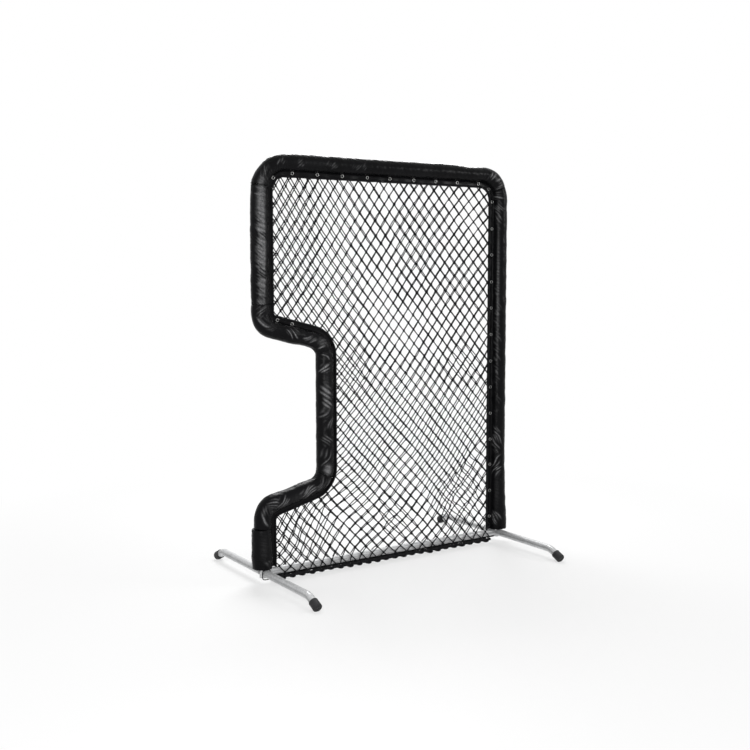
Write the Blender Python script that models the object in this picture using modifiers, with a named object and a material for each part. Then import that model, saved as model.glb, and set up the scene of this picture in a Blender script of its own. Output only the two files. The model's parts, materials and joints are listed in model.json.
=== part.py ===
"""Padded pitcher's screen: a steel tube frame with a notch in its left side, foam pads in
glossy vinyl covers, a two-layer knotted net laced to the bottom rail, and four slip-on leg tubes.

Metres, +Z up. X runs along the screen with the notch at its low end, -Y is the front, and the origin
is on the floor under the middle of the screen.
"""

import math

import bmesh
import bpy
import numpy as np
from mathutils import Vector

# Frame tubes
TUBE_RADIUS = 0.01905
TUBE_WALL = 0.002
FRAME_WIDTH = 1.51
FRAME_TOP = 2.093
RAIL_HEIGHT = 0.056
POST_FOOT = 0.030
TOP_BEND_RADIUS = 0.140

# The notch in the left side, measured between tube axes
NOTCH_DEPTH = 0.362
NOTCH_MIDDLE = 0.839
NOTCH_MOUTH = 0.900
NOTCH_BACK = 0.712
NOTCH_BEND_RADIUS = 0.085

# Splices inside the frame tubes, and the spigots that carry the rail and the legs
TOP_SPLICE_BELOW_BEND = 0.178
COUPLER_LENGTH = 0.15
SPIGOT_LENGTH = 0.10
SPIGOT_WALL = 0.002
SLIP_FIT = 0.0003
SEAT_GAP = 0.0003

# Leg tubes and their rubber caps
LEG_RUN = 0.42
LEG_BEND_RADIUS = 0.10
LEG_DROOP = math.radians(25)
CAP_RADIUS = 0.0235
CAP_LENGTH = 0.048
CAP_END_WALL = 0.006
CAP_ROUNDING = 0.005
CAP_LIP = 0.0015
CAP_SOLE = 0.002

# Pads: a foam sleeve on the tube, and a vinyl cover with a lacing flange on the net side
PAD_RADIUS = 0.045
FOOT_PAD_RADIUS = 0.053
FOOT_PAD_SHIFT = 0.005
FLARE_RUN = 0.40
PAD_SLACK = 0.002
PAD_END_RUN = 0.022
PAD_FOOT = 0.0785
COVER_WALL = 0.0015
FLANGE_REACH = 0.067
FLANGE_ROOT = 0.054
FLANGE_HALF_THICKNESS = 0.002
FLANGE_SPREAD = math.radians(40)
SEAM_GAP = 0.0006
SEAM_BEND_STEPS = 1.5
SHOULDER_SEAM_BEND_STEPS = 0.5
SEAM_FROM_CORNER = 0.110

# The net: two layers of knotted mesh, apart in the middle and round the bottom rail
NET_COLUMNS = 8
NET_ROWS = 8
NET_THICKNESS = 0.003
NET_STRAND = 0.004
NET_BORDER = 0.006
NET_LAP = 0.007
NET_BULGE = 0.022
NET_BULGE_RUN = 0.35
NET_BOTTOM = 0.0195
NET_BOTTOM_SPREAD = 0.0225
NET_HELD_TO = 0.12
NET_FREE_FROM = 0.60
SMALLEST_GAP_SHARE = 0.08

# The lacing rope under the bottom rail
LACING_LOOPS = 24
LACING_RADIUS = 0.003
LACING_HALF_DEPTH = 0.0292
LACING_HALF_HEIGHT = 0.0095
LACING_HEIGHT = 0.0237
LACING_END_RUN = 0.020

# The cord that ties the left pad down to the leg
TIE_RADIUS = 0.00125
TIE_OFFSET = 0.034
TIE_HALF_WIDTH = 0.0225
TIE_BOTTOM = 0.026

# Facets
TUBE_SIDES = 12
FOAM_SIDES = 10
BEND_STEPS = 5
CAP_SIDES = 16
ROUNDING_STEPS = 3
FLANGE_ARC_STEPS = 10
LACING_STEPS = 9
TIE_STEPS = 14
ROPE_POWER = 0.5
SAME_STEP = 0.001

# Cutter
CUTTER_SIZE = 2.4
CUTTER_DEPTH = 0.05

HALF_WIDTH = FRAME_WIDTH / 2
NOTCH_POST = NOTCH_DEPTH - HALF_WIDTH
ARM_RISE = (NOTCH_MOUTH - NOTCH_BACK) / 2
TUBE_BORE = TUBE_RADIUS - TUBE_WALL
SPIGOT_RADIUS = TUBE_BORE * math.cos(math.pi / TUBE_SIDES) - SLIP_FIT
FOAM_BORE = (TUBE_RADIUS + SEAT_GAP) / math.cos(math.pi / FOAM_SIDES)
FLANGE_ARC_HALF_STEP = (math.pi - FLANGE_SPREAD) / FLANGE_ARC_STEPS

STEEL = ("galvanised_steel", (0.62, 0.63, 0.64), 0.38, 1.0)
RUBBER = ("cap_rubber", (0.035, 0.035, 0.037), 0.65, 0.0)
VINYL = ("black_vinyl", (0.012, 0.012, 0.013), 0.28, 0.0)
FOAM = ("grey_foam", (0.16, 0.16, 0.17), 0.95, 0.0)
TWINE = ("black_twine", (0.010, 0.010, 0.011), 0.85, 0.0)


class Route:
    """A planar line of straight runs and round bends. A place on it is a length from its start."""

    def __init__(self, corners, radii, steps):
        self.parts = []
        self.length = 0.0
        here = Vector(corners[0])
        for corner, following, radius in zip(corners[1:-1], corners[2:], radii):
            corner, following = Vector(corner), Vector(following)
            ahead = (corner - here).normalized()
            turned = (following - corner).normalized()
            angle = ahead.angle_signed(turned)
            setback = radius * math.tan(abs(angle) / 2)
            self.add_line(here, corner - ahead * setback)
            self.add_bend(corner - ahead * setback, ahead, radius, angle, steps)
            here = corner + turned * setback
        self.add_line(here, Vector(corners[-1]))

    def add_line(self, start, end):
        self.parts.append(("line", self.length, start, (end - start).normalized(), 0.0, 0.0, 1))
        self.length += (end - start).length

    def add_bend(self, start, ahead, radius, angle, steps):
        self.parts.append(("bend", self.length, start, ahead, radius, angle, steps))
        self.length += radius * abs(angle)

    def starts(self):
        """The lengths at which each run and bend starts, and the end of the route."""
        return [part[1] for part in self.parts] + [self.length]

    def at(self, length):
        """The point and the direction at this length. A bend is followed along its straight steps."""
        index = max(i for i, part in enumerate(self.parts) if i == 0 or part[1] <= length + SEAT_GAP / 2)
        kind, begins, start, ahead, radius, angle, steps = self.parts[index]
        along = length - begins
        if kind == "line":
            return start + ahead * along, ahead
        share = steps * along / (radius * abs(angle))
        step = round(share)
        if abs(share - step) < SAME_STEP:
            return self.on_bend(start, ahead, radius, angle * step / steps)
        low, _ = self.on_bend(start, ahead, radius, angle * math.floor(share) / steps)
        high, _ = self.on_bend(start, ahead, radius, angle * math.ceil(share) / steps)
        return low.lerp(high, share - math.floor(share)), (high - low).normalized()

    def on_bend(self, start, ahead, radius, turned):
        """The point and the direction on a bend's arc. A positive turn is clockwise."""
        right = Vector((ahead.y, -ahead.x))
        side = math.copysign(1, turned)
        heading = ahead * math.cos(turned) + right * math.sin(turned)
        offset = ahead * abs(math.sin(turned)) + right * side * (1 - math.cos(turned))
        return start + offset * radius, heading

    def stations(self, first, last, more=()):
        """Lengths from first to last: both ends, every bend's steps, and those in more that are clear of them."""
        found = [first, last]
        for kind, begins, _, _, radius, angle, steps in self.parts:
            if kind == "bend":
                on_bend = [begins + radius * abs(angle) * i / steps for i in range(steps + 1)]
                found += [length for length in on_bend if first + TUBE_WALL < length < last - TUBE_WALL]
        for length in more:
            if min(abs(length - other) for other in found) > PAD_END_RUN / 2:
                found.append(length)
        return sorted(found)

    def step_of(self, index):
        """The length of one straight step of this bend."""
        return self.parts[index][4] * abs(self.parts[index][5]) / self.parts[index][6]


def clear_scene():
    for thing in list(bpy.data.objects):
        bpy.data.objects.remove(thing, do_unlink=True)


def new_collection(name):
    collection = bpy.data.collections.new(name)
    bpy.context.scene.collection.children.link(collection)
    return collection


def material(look):
    """The Principled material of this look: name, colour, roughness and metallic value."""
    name, colour, roughness, metallic = look
    found = bpy.data.materials.get(name)
    if found:
        return found
    made = bpy.data.materials.new(name)
    made.use_nodes = True
    shader = made.node_tree.nodes["Principled BSDF"]
    shader.inputs["Base Color"].default_value = (*colour, 1.0)
    shader.inputs["Roughness"].default_value = roughness
    shader.inputs["Metallic"].default_value = metallic
    return made


def place(thing, look, parent, location=(0, 0, 0), rotation=(0, 0, 0)):
    """Links an object to the screen's collection, with its material, parent and local place."""
    PARTS.objects.link(thing)
    thing.data.materials.clear()
    thing.data.materials.append(material(look))
    thing.parent = parent
    thing.location = location
    thing.rotation_euler = rotation
    return thing


def new_empty(name, location, parent=None):
    empty = bpy.data.objects.new(name, None)
    PARTS.objects.link(empty)
    empty.location = location
    empty.parent = parent
    return empty


def line_curve(name, points, radius, sides, cyclic=False, caps=True):
    """A round bar along a row of points, as curve data with a round bevel."""
    curve = bpy.data.curves.new(name, "CURVE")
    curve.dimensions = "3D"
    curve.bevel_depth = radius
    curve.bevel_resolution = (sides - 4) // 2
    curve.use_fill_caps = caps
    curve.twist_mode = "MINIMUM"
    spline = curve.splines.new("POLY")
    spline.points.add(len(points) - 1)
    for knot, point in zip(spline.points, points):
        knot.co = (*point, 1.0)
    spline.use_cyclic_u = cyclic
    spline.use_smooth = True
    return curve


def add_tube(name, points, radius, wall, look, parent, location=(0, 0, 0), rotation=(0, 0, 0)):
    """An open-ended steel tube along a row of local points."""
    curve = line_curve(name, points, radius, TUBE_SIDES, caps=False)
    tube = place(bpy.data.objects.new(name, curve), look, parent, location, rotation)
    shell = tube.modifiers.new("wall", "SOLIDIFY")
    shell.thickness = wall
    shell.offset = -1
    shell.use_even_offset = True
    return tube


def frame_tube(name, first, last):
    """One length of the frame's outline tube, cut between two places on its route."""
    origin = upright(ROUTE.at(first)[0])
    points = [upright(ROUTE.at(length)[0]) - origin for length in ROUTE.stations(first, last)]
    return add_tube(name, points, TUBE_RADIUS, TUBE_WALL, STEEL, SCREEN, origin)


def coupler(name, middle):
    """A sleeve inside the frame tubes, centred on the splice between two of them."""
    point, ahead = ROUTE.at(middle)
    along = upright(ahead)
    half = along * (COUPLER_LENGTH / 2)
    return add_tube(name, [-half, half], SPIGOT_RADIUS, SPIGOT_WALL, STEEL, SCREEN, upright(point))


def upright(flat):
    """A point of the screen's plane, which stands up along X and Z."""
    return Vector((flat.x, 0, flat.y))


def teardrop(radius, shift, reach, root, half):
    """A pad's section as (towards the net, depth) pairs: a round body that narrows to a flat flange.

    The body's middle is shifted away from the net."""
    sweep = 2 * (math.pi - FLANGE_SPREAD)
    points = []
    for i in range(FLANGE_ARC_STEPS + 1):
        angle = FLANGE_SPREAD + sweep * i / FLANGE_ARC_STEPS
        points.append((radius * math.cos(angle) - shift, radius * math.sin(angle)))
    return points + [(root, -half), (reach, -half), (reach, half), (root, half)]


def circle(radius, sides, shift=0.0):
    """A round section, its middle shifted away from the net."""
    turns = [2 * math.pi * (i + 1 / 2) / sides for i in range(sides)]
    return [(radius * math.cos(turn) - shift, radius * math.sin(turn)) for turn in turns]


def ring_at(length, section):
    """A section's points in space, square to the route at this length."""
    point, ahead = ROUTE.at(length)
    towards_net = upright(Vector((ahead.y, -ahead.x)))
    return [upright(point) + towards_net * a + Vector((0, b, 0)) for a, b in section]


def sleeve(name, outer_rings, inner_rings, look):
    """A closed sleeve lofted through rings: its outside, its inside and a rim at each end."""
    mesh = bmesh.new()
    outside = [[mesh.verts.new(point) for point in ring] for ring in outer_rings]
    inside = [[mesh.verts.new(point) for point in ring] for ring in inner_rings]
    count = len(outside[0])
    for surface in (outside, inside):
        for ring, following in zip(surface, surface[1:]):
            for i in range(count):
                j = (i + 1) % count
                mesh.faces.new((ring[i], ring[j], following[j], following[i]))
    for end in (0, -1):
        for i in range(count):
            j = (i + 1) % count
            mesh.faces.new((outside[end][i], outside[end][j], inside[end][j], inside[end][i]))
    bmesh.ops.recalc_face_normals(mesh, faces=mesh.faces)
    data = bpy.data.meshes.new(name)
    mesh.to_mesh(data)
    mesh.free()
    data.shade_smooth()
    data.set_sharp_from_angle(angle=math.radians(50))
    return place(bpy.data.objects.new(name, data), look, SCREEN)


def body_at(length, last, bodies):
    """A pad's radius and shift: they change evenly from the first body's to the last one's at its end."""
    share = max(0.0, 1 - (last - length) / FLARE_RUN)
    (first_radius, first_shift), (last_radius, last_shift) = bodies
    radius = first_radius + (last_radius - first_radius) * share
    return radius, first_shift + (last_shift - first_shift) * share


def add_pad(name, first, last, bodies):
    """A foam sleeve and its vinyl cover, drawn in at both ends, on one stretch of the frame."""
    ends = [first + PAD_END_RUN, last - PAD_END_RUN]
    flare = [last - FLARE_RUN] if bodies[0] != bodies[1] else []
    outer, lining = [], []
    for length in ROUTE.stations(first, last, ends + flare):
        radius, shift = body_at(length, last, bodies)
        radius -= PAD_SLACK * max(0.0, 1 - min(length - first, last - length) / PAD_END_RUN)
        for rings, wall in ((outer, 0.0), (lining, COVER_WALL)):
            leaf = FLANGE_REACH - wall, FLANGE_ROOT - wall, FLANGE_HALF_THICKNESS - wall
            rings.append(ring_at(length, teardrop(radius - wall, shift, *leaf)))
    sleeve(name + "_cover", outer, lining, VINYL)
    body, bore = [], []
    for length in ROUTE.stations(first, last, flare):
        radius, shift = body_at(length, last, bodies)
        radius = (radius - PAD_SLACK - COVER_WALL) * math.cos(FLANGE_ARC_HALF_STEP) - SEAT_GAP
        body.append(ring_at(length, circle(radius, FOAM_SIDES, shift)))
        bore.append(ring_at(length, circle(FOAM_BORE, FOAM_SIDES)))
    sleeve(name + "_foam", body, bore, FOAM)


def clipped(polygon, normal, offset):
    """A convex polygon's part where the dot product with normal is at least offset."""
    kept = []
    for point, following in zip(polygon, polygon[1:] + polygon[:1]):
        here, there = point.dot(normal) - offset, following.dot(normal) - offset
        if here >= 0:
            kept.append(point)
        if here * there < 0:
            kept.append(point + (following - point) * (here / (here - there)))
    return kept


def polygon_area(polygon):
    pairs = zip(polygon, polygon[1:] + polygon[:1])
    return abs(sum(a.x * b.y - b.x * a.y for a, b in pairs)) / 2


def offset_line(first, last, distance, more=()):
    """Points beside the frame's route, this far towards the net."""
    points = []
    for length in ROUTE.stations(first, last, more):
        point, ahead = ROUTE.at(length)
        points.append(point + Vector((ahead.y, -ahead.x)) * distance)
    return points


def walls_beside(first, last, distance):
    """Straight walls this far beside the route, each as its direction towards the net and its offset."""
    line = offset_line(first, last, distance)
    walls = []
    for point, following in zip(line, line[1:]):
        ahead = (following - point).normalized()
        towards_net = Vector((ahead.y, -ahead.x))
        walls.append((towards_net, towards_net.dot(point)))
    return walls


def net_gaps():
    """The net's gaps: diamonds on a grid, cut off at the border ropes. Small remainders are left out."""
    inset = FLANGE_REACH - NET_LAP + NET_BORDER
    edge = HALF_WIDTH - inset
    top = FRAME_TOP - inset
    bottom = NET_BOTTOM + NET_BORDER
    width = 2 * edge / NET_COLUMNS
    height = (top - bottom) / NET_ROWS
    marks = ROUTE.starts()
    outer_walls = walls_beside(marks[8], marks[13], inset) + [(Vector((0, 1)), bottom)]
    lower_corner = walls_beside(marks[1], marks[2], inset)
    upper_corner = walls_beside(marks[7], marks[8], inset)
    notch_walls = walls_beside(marks[2], marks[7], inset)
    half_strand = NET_STRAND / 2 * math.hypot(width, height)
    reach_x = width / 2 - half_strand / height
    reach_y = height / 2 - half_strand / width
    gaps = []
    for row in range(2 * NET_ROWS + 1):
        shift = (row % 2) / 2
        for column in range(NET_COLUMNS + 1):
            middle = Vector((-edge + (column + shift) * width, bottom + row * height / 2))
            gap = [
                middle + Vector((reach_x, 0)),
                middle + Vector((0, reach_y)),
                middle - Vector((reach_x, 0)),
                middle - Vector((0, reach_y)),
            ]
            # The notch stands out into the net, so a gap keeps clear by the wall it is farthest beyond.
            beyond = [middle.dot(normal) - offset for normal, offset in notch_walls]
            nearest = beyond.index(max(beyond))
            near = [notch_walls[nearest]]
            if nearest == 0:
                near += lower_corner
            if nearest == len(notch_walls) - 1:
                near += upper_corner
            for normal, offset in outer_walls + near:
                gap = clipped(gap, normal, offset)
            if len(gap) > 2 and polygon_area(gap) > SMALLEST_GAP_SHARE * width * height / 2:
                gaps.append(gap)
    return gaps


def net_outline():
    """The net's outer edge: beside the whole frame on the net side, and straight along the bottom."""
    marks = ROUTE.starts()
    distance = FLANGE_REACH - NET_LAP
    line = offset_line(marks[0], marks[-1], distance)
    line[0].y = NET_BOTTOM
    line[-1].y = NET_BOTTOM
    return line


def smooth_step(share):
    share = np.clip(share, 0, 1)
    return share * share * (3 - 2 * share)


def net_offset(places):
    """How far a net layer stands from the screen's plane at each (x, z) place: it lies on the flanges,
    swells towards the middle, and keeps in front of the bottom rail."""
    line = np.array([tuple(point) for point in net_outline()])
    start, step = line[:-1], np.diff(line, axis=0)
    share = ((places[:, None] - start) * step).sum(2) / (step * step).sum(1)
    nearest = start + step * np.clip(share, 0, 1)[..., None]
    distance = np.linalg.norm(places[:, None] - nearest, axis=2).min(1)
    seat = FLANGE_HALF_THICKNESS + SEAT_GAP + NET_THICKNESS / 2
    swell = 1 - (1 - np.clip(distance / NET_BULGE_RUN, 0, 1)) ** 2
    free = smooth_step((places[:, 1] - NET_HELD_TO) / (NET_FREE_FROM - NET_HELD_TO))
    return NET_BOTTOM_SPREAD + (seat + NET_BULGE * swell - NET_BOTTOM_SPREAD) * free


def add_net(name, side):
    """One layer of the net. Its flat outline and gaps are a filled 2D curve, which is then swelled."""
    curve = bpy.data.curves.new(name, "CURVE")
    curve.dimensions = "2D"
    curve.fill_mode = "BOTH"
    curve.extrude = NET_THICKNESS / 2
    for polygon in [net_outline(), *net_gaps()]:
        spline = curve.splines.new("POLY")
        spline.points.add(len(polygon) - 1)
        for knot, point in zip(spline.points, polygon):
            knot.co = (point.x, point.y, 0, 1)
        spline.use_cyclic_u = True
    flat = bpy.data.objects.new(name + "_outline", curve)
    bpy.context.scene.collection.objects.link(flat)
    bpy.context.view_layer.update()
    data = bpy.data.meshes.new_from_object(flat.evaluated_get(bpy.context.evaluated_depsgraph_get()))
    bpy.data.objects.remove(flat, do_unlink=True)
    data.name = name
    mesh = bmesh.new()
    mesh.from_mesh(data)
    bmesh.ops.remove_doubles(mesh, verts=mesh.verts, dist=0.0001)
    bmesh.ops.recalc_face_normals(mesh, faces=mesh.faces)
    mesh.to_mesh(data)
    mesh.free()
    points = np.empty(len(data.vertices) * 3, np.float32)
    data.vertices.foreach_get("co", points)
    points = points.reshape(-1, 3)
    # A quarter turn about X stands the flat mesh up, and then it swells to its own side.
    depth = -points[:, 2] + side * net_offset(points[:, :2])
    points = np.stack([points[:, 0], depth, points[:, 1]], 1)
    data.vertices.foreach_set("co", points.ravel())
    data.update()
    return place(bpy.data.objects.new(name, data), TWINE, SCREEN)


def rounded_loop(turn):
    """A point of a rounded rectangle of half sizes 1, where turn goes from 0 to a full turn."""
    cosine, sine = math.cos(turn), math.sin(turn)
    return (
        math.copysign(abs(cosine) ** ROPE_POWER, cosine),
        math.copysign(abs(sine) ** ROPE_POWER, sine),
    )


def lacing_points():
    """The lacing rope's route: along the rail's underside from the left post, round both net borders
    in loops that step along the rail, and on to the right post."""
    post_side = HALF_WIDTH - TUBE_RADIUS - SEAT_GAP
    edge = HALF_WIDTH - (FLANGE_REACH - NET_LAP + NET_BORDER)
    pitch = 2 * edge / LACING_LOOPS
    run_height = RAIL_HEIGHT - TUBE_RADIUS - SEAT_GAP - LACING_RADIUS
    points = [Vector((-post_side, 0, run_height)), Vector((LACING_END_RUN - post_side, 0, run_height))]
    for i in range(LACING_STEPS * LACING_LOOPS + 1):
        turn = math.pi / 2 + 2 * math.pi * i / LACING_STEPS
        depth, height = rounded_loop(turn)
        points.append(
            Vector(
                (
                    pitch * i / LACING_STEPS - edge,
                    -LACING_HALF_DEPTH * depth,
                    LACING_HEIGHT + LACING_HALF_HEIGHT * height,
                )
            )
        )
    points.append(Vector((post_side - LACING_END_RUN, 0, run_height)))
    points.append(Vector((post_side, 0, run_height)))
    return points


def least_self_gap(points, radius):
    """The least gap between stretches of a rope that are over half a loop apart."""
    places = np.array([tuple(point) for point in points])
    spread = np.linalg.norm(places[:, None] - places, axis=2)
    index = np.arange(len(places))
    apart = np.abs(index[:, None] - index) > LACING_STEPS // 2
    return float(spread[apart].min() - 2 * radius)


def add_lacing():
    points = lacing_points()
    print(f"least gap of the lacing rope to itself: {least_self_gap(points, LACING_RADIUS):.4f} m")
    curve = line_curve("bottom_lacing_rope", points, LACING_RADIUS, 6)
    place(bpy.data.objects.new("bottom_lacing_rope", curve), TWINE, SCREEN)


def add_foot_tie():
    """A loop of cord from under the left pad, slack round the leg beside the post."""
    top = PAD_FOOT - SEAT_GAP - TIE_RADIUS
    middle, half_height = (top + TIE_BOTTOM) / 2, (top - TIE_BOTTOM) / 2
    points = []
    for i in range(TIE_STEPS):
        across, up = rounded_loop(2 * math.pi * i / TIE_STEPS)
        points.append(Vector((TIE_HALF_WIDTH * across, 0, half_height * up)))
    curve = line_curve("foot_tie_cord", points, TIE_RADIUS, 6, cyclic=True)
    loop = bpy.data.objects.new("foot_tie_cord", curve)
    place(loop, TWINE, SCREEN, (-HALF_WIDTH, -TIE_OFFSET, middle))


def leg_points():
    """A leg tube from the post outwards along -Y: straight, then bent down to its cap."""
    drop_to_end = RAIL_HEIGHT - LEG_BEND_RADIUS * (1 - math.cos(LEG_DROOP)) - cap_end_height()
    tail = drop_to_end / math.sin(LEG_DROOP) - CAP_END_WALL - SEAT_GAP
    points = [Vector((0, 0, 0))]
    for i in range(BEND_STEPS + 1):
        angle = LEG_DROOP * i / BEND_STEPS
        out = LEG_RUN + LEG_BEND_RADIUS * math.sin(angle)
        points.append(Vector((0, -out, LEG_BEND_RADIUS * (math.cos(angle) - 1))))
    points.append(points[-1] + tail * leg_end_direction())
    return points


def leg_end_direction():
    return Vector((0, -math.cos(LEG_DROOP), -math.sin(LEG_DROOP)))


def cap_end_height():
    """The height of the middle of a cap's end when its rounded rim sinks by the sole's depth."""
    flat = CAP_RADIUS - CAP_ROUNDING
    below = CAP_ROUNDING + flat * math.cos(LEG_DROOP) - CAP_ROUNDING * math.sin(LEG_DROOP)
    return below - CAP_SOLE


def cap_profile():
    """Half of a cap's section as (radius, height) pairs, mouth up, from the axis round to the axis."""
    bore = (TUBE_RADIUS + SEAT_GAP) / math.cos(math.pi / CAP_SIDES)
    points = [(0, CAP_END_WALL), (bore, CAP_END_WALL), (bore, CAP_LENGTH)]
    points += [(CAP_RADIUS - CAP_LIP, CAP_LENGTH), (CAP_RADIUS, CAP_LENGTH - 2 * CAP_LIP)]
    for i in range(ROUNDING_STEPS + 1):
        angle = math.pi / 2 * i / ROUNDING_STEPS
        points.append(
            (
                CAP_RADIUS - CAP_ROUNDING * (1 - math.cos(angle)),
                CAP_ROUNDING * (1 - math.sin(angle)),
            )
        )
    return points + [(0, 0)]


def cap_mesh():
    data = bpy.data.meshes.new("leg_cap")
    profile = cap_profile()
    data.from_pydata([(r, 0, h) for r, h in profile], [(i, i + 1) for i in range(len(profile) - 1)], [])
    return data


def add_leg(side_name, side, end_name, end, cap_data, floor):
    """A leg tube on its spigot, and its rubber cap. Its empty is on the axis that it slides along."""
    name = f"{side_name}_{end_name}"
    start = TUBE_RADIUS + SEAT_GAP
    turn = 0 if end < 0 else math.pi
    empty = new_empty(name + "_leg_slide", (side * HALF_WIDTH, end * start, RAIL_HEIGHT), SCREEN)
    empty.rotation_euler = (0, 0, turn)
    points = leg_points()
    add_tube(name + "_leg_tube", points, TUBE_RADIUS, TUBE_WALL, STEEL, empty)
    cap = place(bpy.data.objects.new(name + "_leg_cap", cap_data), RUBBER, empty)
    cap.location = points[-1] + leg_end_direction() * (CAP_END_WALL + SEAT_GAP)
    cap.rotation_euler = (LEG_DROOP - math.pi / 2, 0, 0)
    spin = cap.modifiers.new("turned", "SCREW")
    spin.steps = CAP_SIDES
    spin.render_steps = CAP_SIDES
    spin.use_merge_vertices = True
    spin.merge_threshold = 0.0001
    sole = cap.modifiers.new("sole", "BOOLEAN")
    sole.operation = "DIFFERENCE"
    sole.object = floor
    add_tube(
        name + "_leg_spigot",
        [Vector((0, 0, 0)), Vector((0, end * SPIGOT_LENGTH, 0))],
        SPIGOT_RADIUS,
        SPIGOT_WALL,
        STEEL,
        SCREEN,
        (side * HALF_WIDTH, end * start, RAIL_HEIGHT),
    )


def add_bottom_rail():
    start = HALF_WIDTH - TUBE_RADIUS - SEAT_GAP
    ends = [Vector((-start, 0, 0)), Vector((start, 0, 0))]
    add_tube("bottom_rail", ends, TUBE_RADIUS, TUBE_WALL, STEEL, SCREEN, (0, 0, RAIL_HEIGHT))
    for side_name, side in (("left", -1), ("right", 1)):
        add_tube(
            side_name + "_rail_spigot",
            [Vector((0, 0, 0)), Vector((-side * SPIGOT_LENGTH, 0, 0))],
            SPIGOT_RADIUS,
            SPIGOT_WALL,
            STEEL,
            SCREEN,
            (side * start, 0, RAIL_HEIGHT),
        )


def add_frame():
    """The outline tube in five lengths, with a coupler in each splice."""
    marks = ROUTE.starts()
    length = ROUTE.length
    notch_splice = (marks[4] + marks[5]) / 2
    left_splice = marks[9] - TOP_SPLICE_BELOW_BEND
    right_splice = marks[12] + TOP_SPLICE_BELOW_BEND
    right_middle = length - (NOTCH_MIDDLE - POST_FOOT)
    half_gap = SEAM_GAP / 2
    frame_tube("lower_notch_tube", 0.0, notch_splice - half_gap)
    frame_tube("upper_notch_tube", notch_splice + half_gap, left_splice - half_gap)
    frame_tube("top_rail_tube", left_splice + half_gap, right_splice - half_gap)
    frame_tube("right_upper_post_tube", right_splice + half_gap, right_middle - half_gap)
    frame_tube("right_lower_post_tube", right_middle + half_gap, length)
    coupler("notch_post_coupler", notch_splice)
    coupler("left_post_coupler", left_splice)
    coupler("right_upper_coupler", right_splice)
    coupler("right_lower_coupler", right_middle)


def add_pads():
    """Seven pads, end to end round the frame from the left foot to the right foot."""
    marks = ROUTE.starts()
    pad_foot = PAD_FOOT - POST_FOOT
    lower_corner = NOTCH_MIDDLE - NOTCH_MOUTH / 2 - POST_FOOT
    top_corner_to_seam = FRAME_TOP - NOTCH_MIDDLE - NOTCH_MOUTH / 2 - SEAM_FROM_CORNER
    upper_seam = marks[9] - (top_corner_to_seam - TOP_BEND_RADIUS)
    seams = [
        pad_foot,
        lower_corner - SEAM_FROM_CORNER,
        marks[4] - SEAM_BEND_STEPS * ROUTE.step_of(3),
        marks[5] + SEAM_BEND_STEPS * ROUTE.step_of(5),
        upper_seam,
        marks[9] + SHOULDER_SEAM_BEND_STEPS * ROUTE.step_of(9),
        marks[12] - SEAM_BEND_STEPS * ROUTE.step_of(11),
        ROUTE.length - pad_foot,
    ]
    stout, slim = (FOOT_PAD_RADIUS, FOOT_PAD_SHIFT), (PAD_RADIUS, 0.0)
    pads = [
        ("lower_left_post", (stout, stout)),
        ("lower_arm", (slim, slim)),
        ("notch_post", (slim, slim)),
        ("upper_arm", (slim, slim)),
        ("upper_left_post", (slim, slim)),
        ("top_rail", (slim, slim)),
        ("right_post", (slim, stout)),
    ]
    half_gap = SEAM_GAP / 2
    for i, (name, bodies) in enumerate(pads):
        first = seams[i] + (half_gap if i else 0)
        last = seams[i + 1] - (half_gap if i + 1 < len(pads) else 0)
        add_pad(name, first, last, bodies)


def add_floor_cutter():
    bpy.ops.mesh.primitive_cube_add(size=1, location=(0, 0, -CUTTER_DEPTH / 2))
    cutter = bpy.context.object
    cutter.name = "floor_cutter"
    cutter.scale = (CUTTER_SIZE, CUTTER_SIZE, CUTTER_DEPTH)
    for collection in list(cutter.users_collection):
        collection.objects.unlink(cutter)
    CUTTERS.objects.link(cutter)
    cutter.hide_render = True
    cutter.display_type = "WIRE"
    return cutter


def frame_route():
    """The tube outline from the left foot round to the right foot, as (x, z) corners with bends."""
    left = -HALF_WIDTH
    low, high = NOTCH_MIDDLE - NOTCH_MOUTH / 2, NOTCH_MIDDLE + NOTCH_MOUTH / 2
    corners = [
        (left, POST_FOOT),
        (left, low),
        (NOTCH_POST, low + ARM_RISE),
        (NOTCH_POST, high - ARM_RISE),
        (left, high),
        (left, FRAME_TOP),
        (HALF_WIDTH, FRAME_TOP),
        (HALF_WIDTH, POST_FOOT),
    ]
    radii = [NOTCH_BEND_RADIUS] * 4 + [TOP_BEND_RADIUS] * 2
    return Route(corners, radii, BEND_STEPS)


clear_scene()
PARTS = new_collection("pitching_screen")
CUTTERS = new_collection("cutters")
SCREEN = new_empty("screen", (0, 0, 0))
ROUTE = frame_route()

add_frame()
add_bottom_rail()
add_pads()
add_net("front_net", -1)
add_net("back_net", 1)
add_lacing()
add_foot_tie()
FLOOR = add_floor_cutter()
CAP = cap_mesh()
for SIDE_NAME, SIDE in (("left", -1), ("right", 1)):
    for END_NAME, END in (("front", -1), ("rear", 1)):
        add_leg(SIDE_NAME, SIDE, END_NAME, END, CAP, FLOOR)
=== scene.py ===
"""Dresses the padded pitching screen: wrinkled vinyl pads, laced net layers, steel tubes and rubber caps.

It is laid out as an add-on and run as a script. Everything is in metres, in the frame of the solid model.
"""

import json
import math
from functools import partial

import bmesh
import bpy
import numpy as np
from bpy.props import FloatProperty, FloatVectorProperty, IntProperty, PointerProperty
from mathutils import Matrix, Vector


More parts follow.
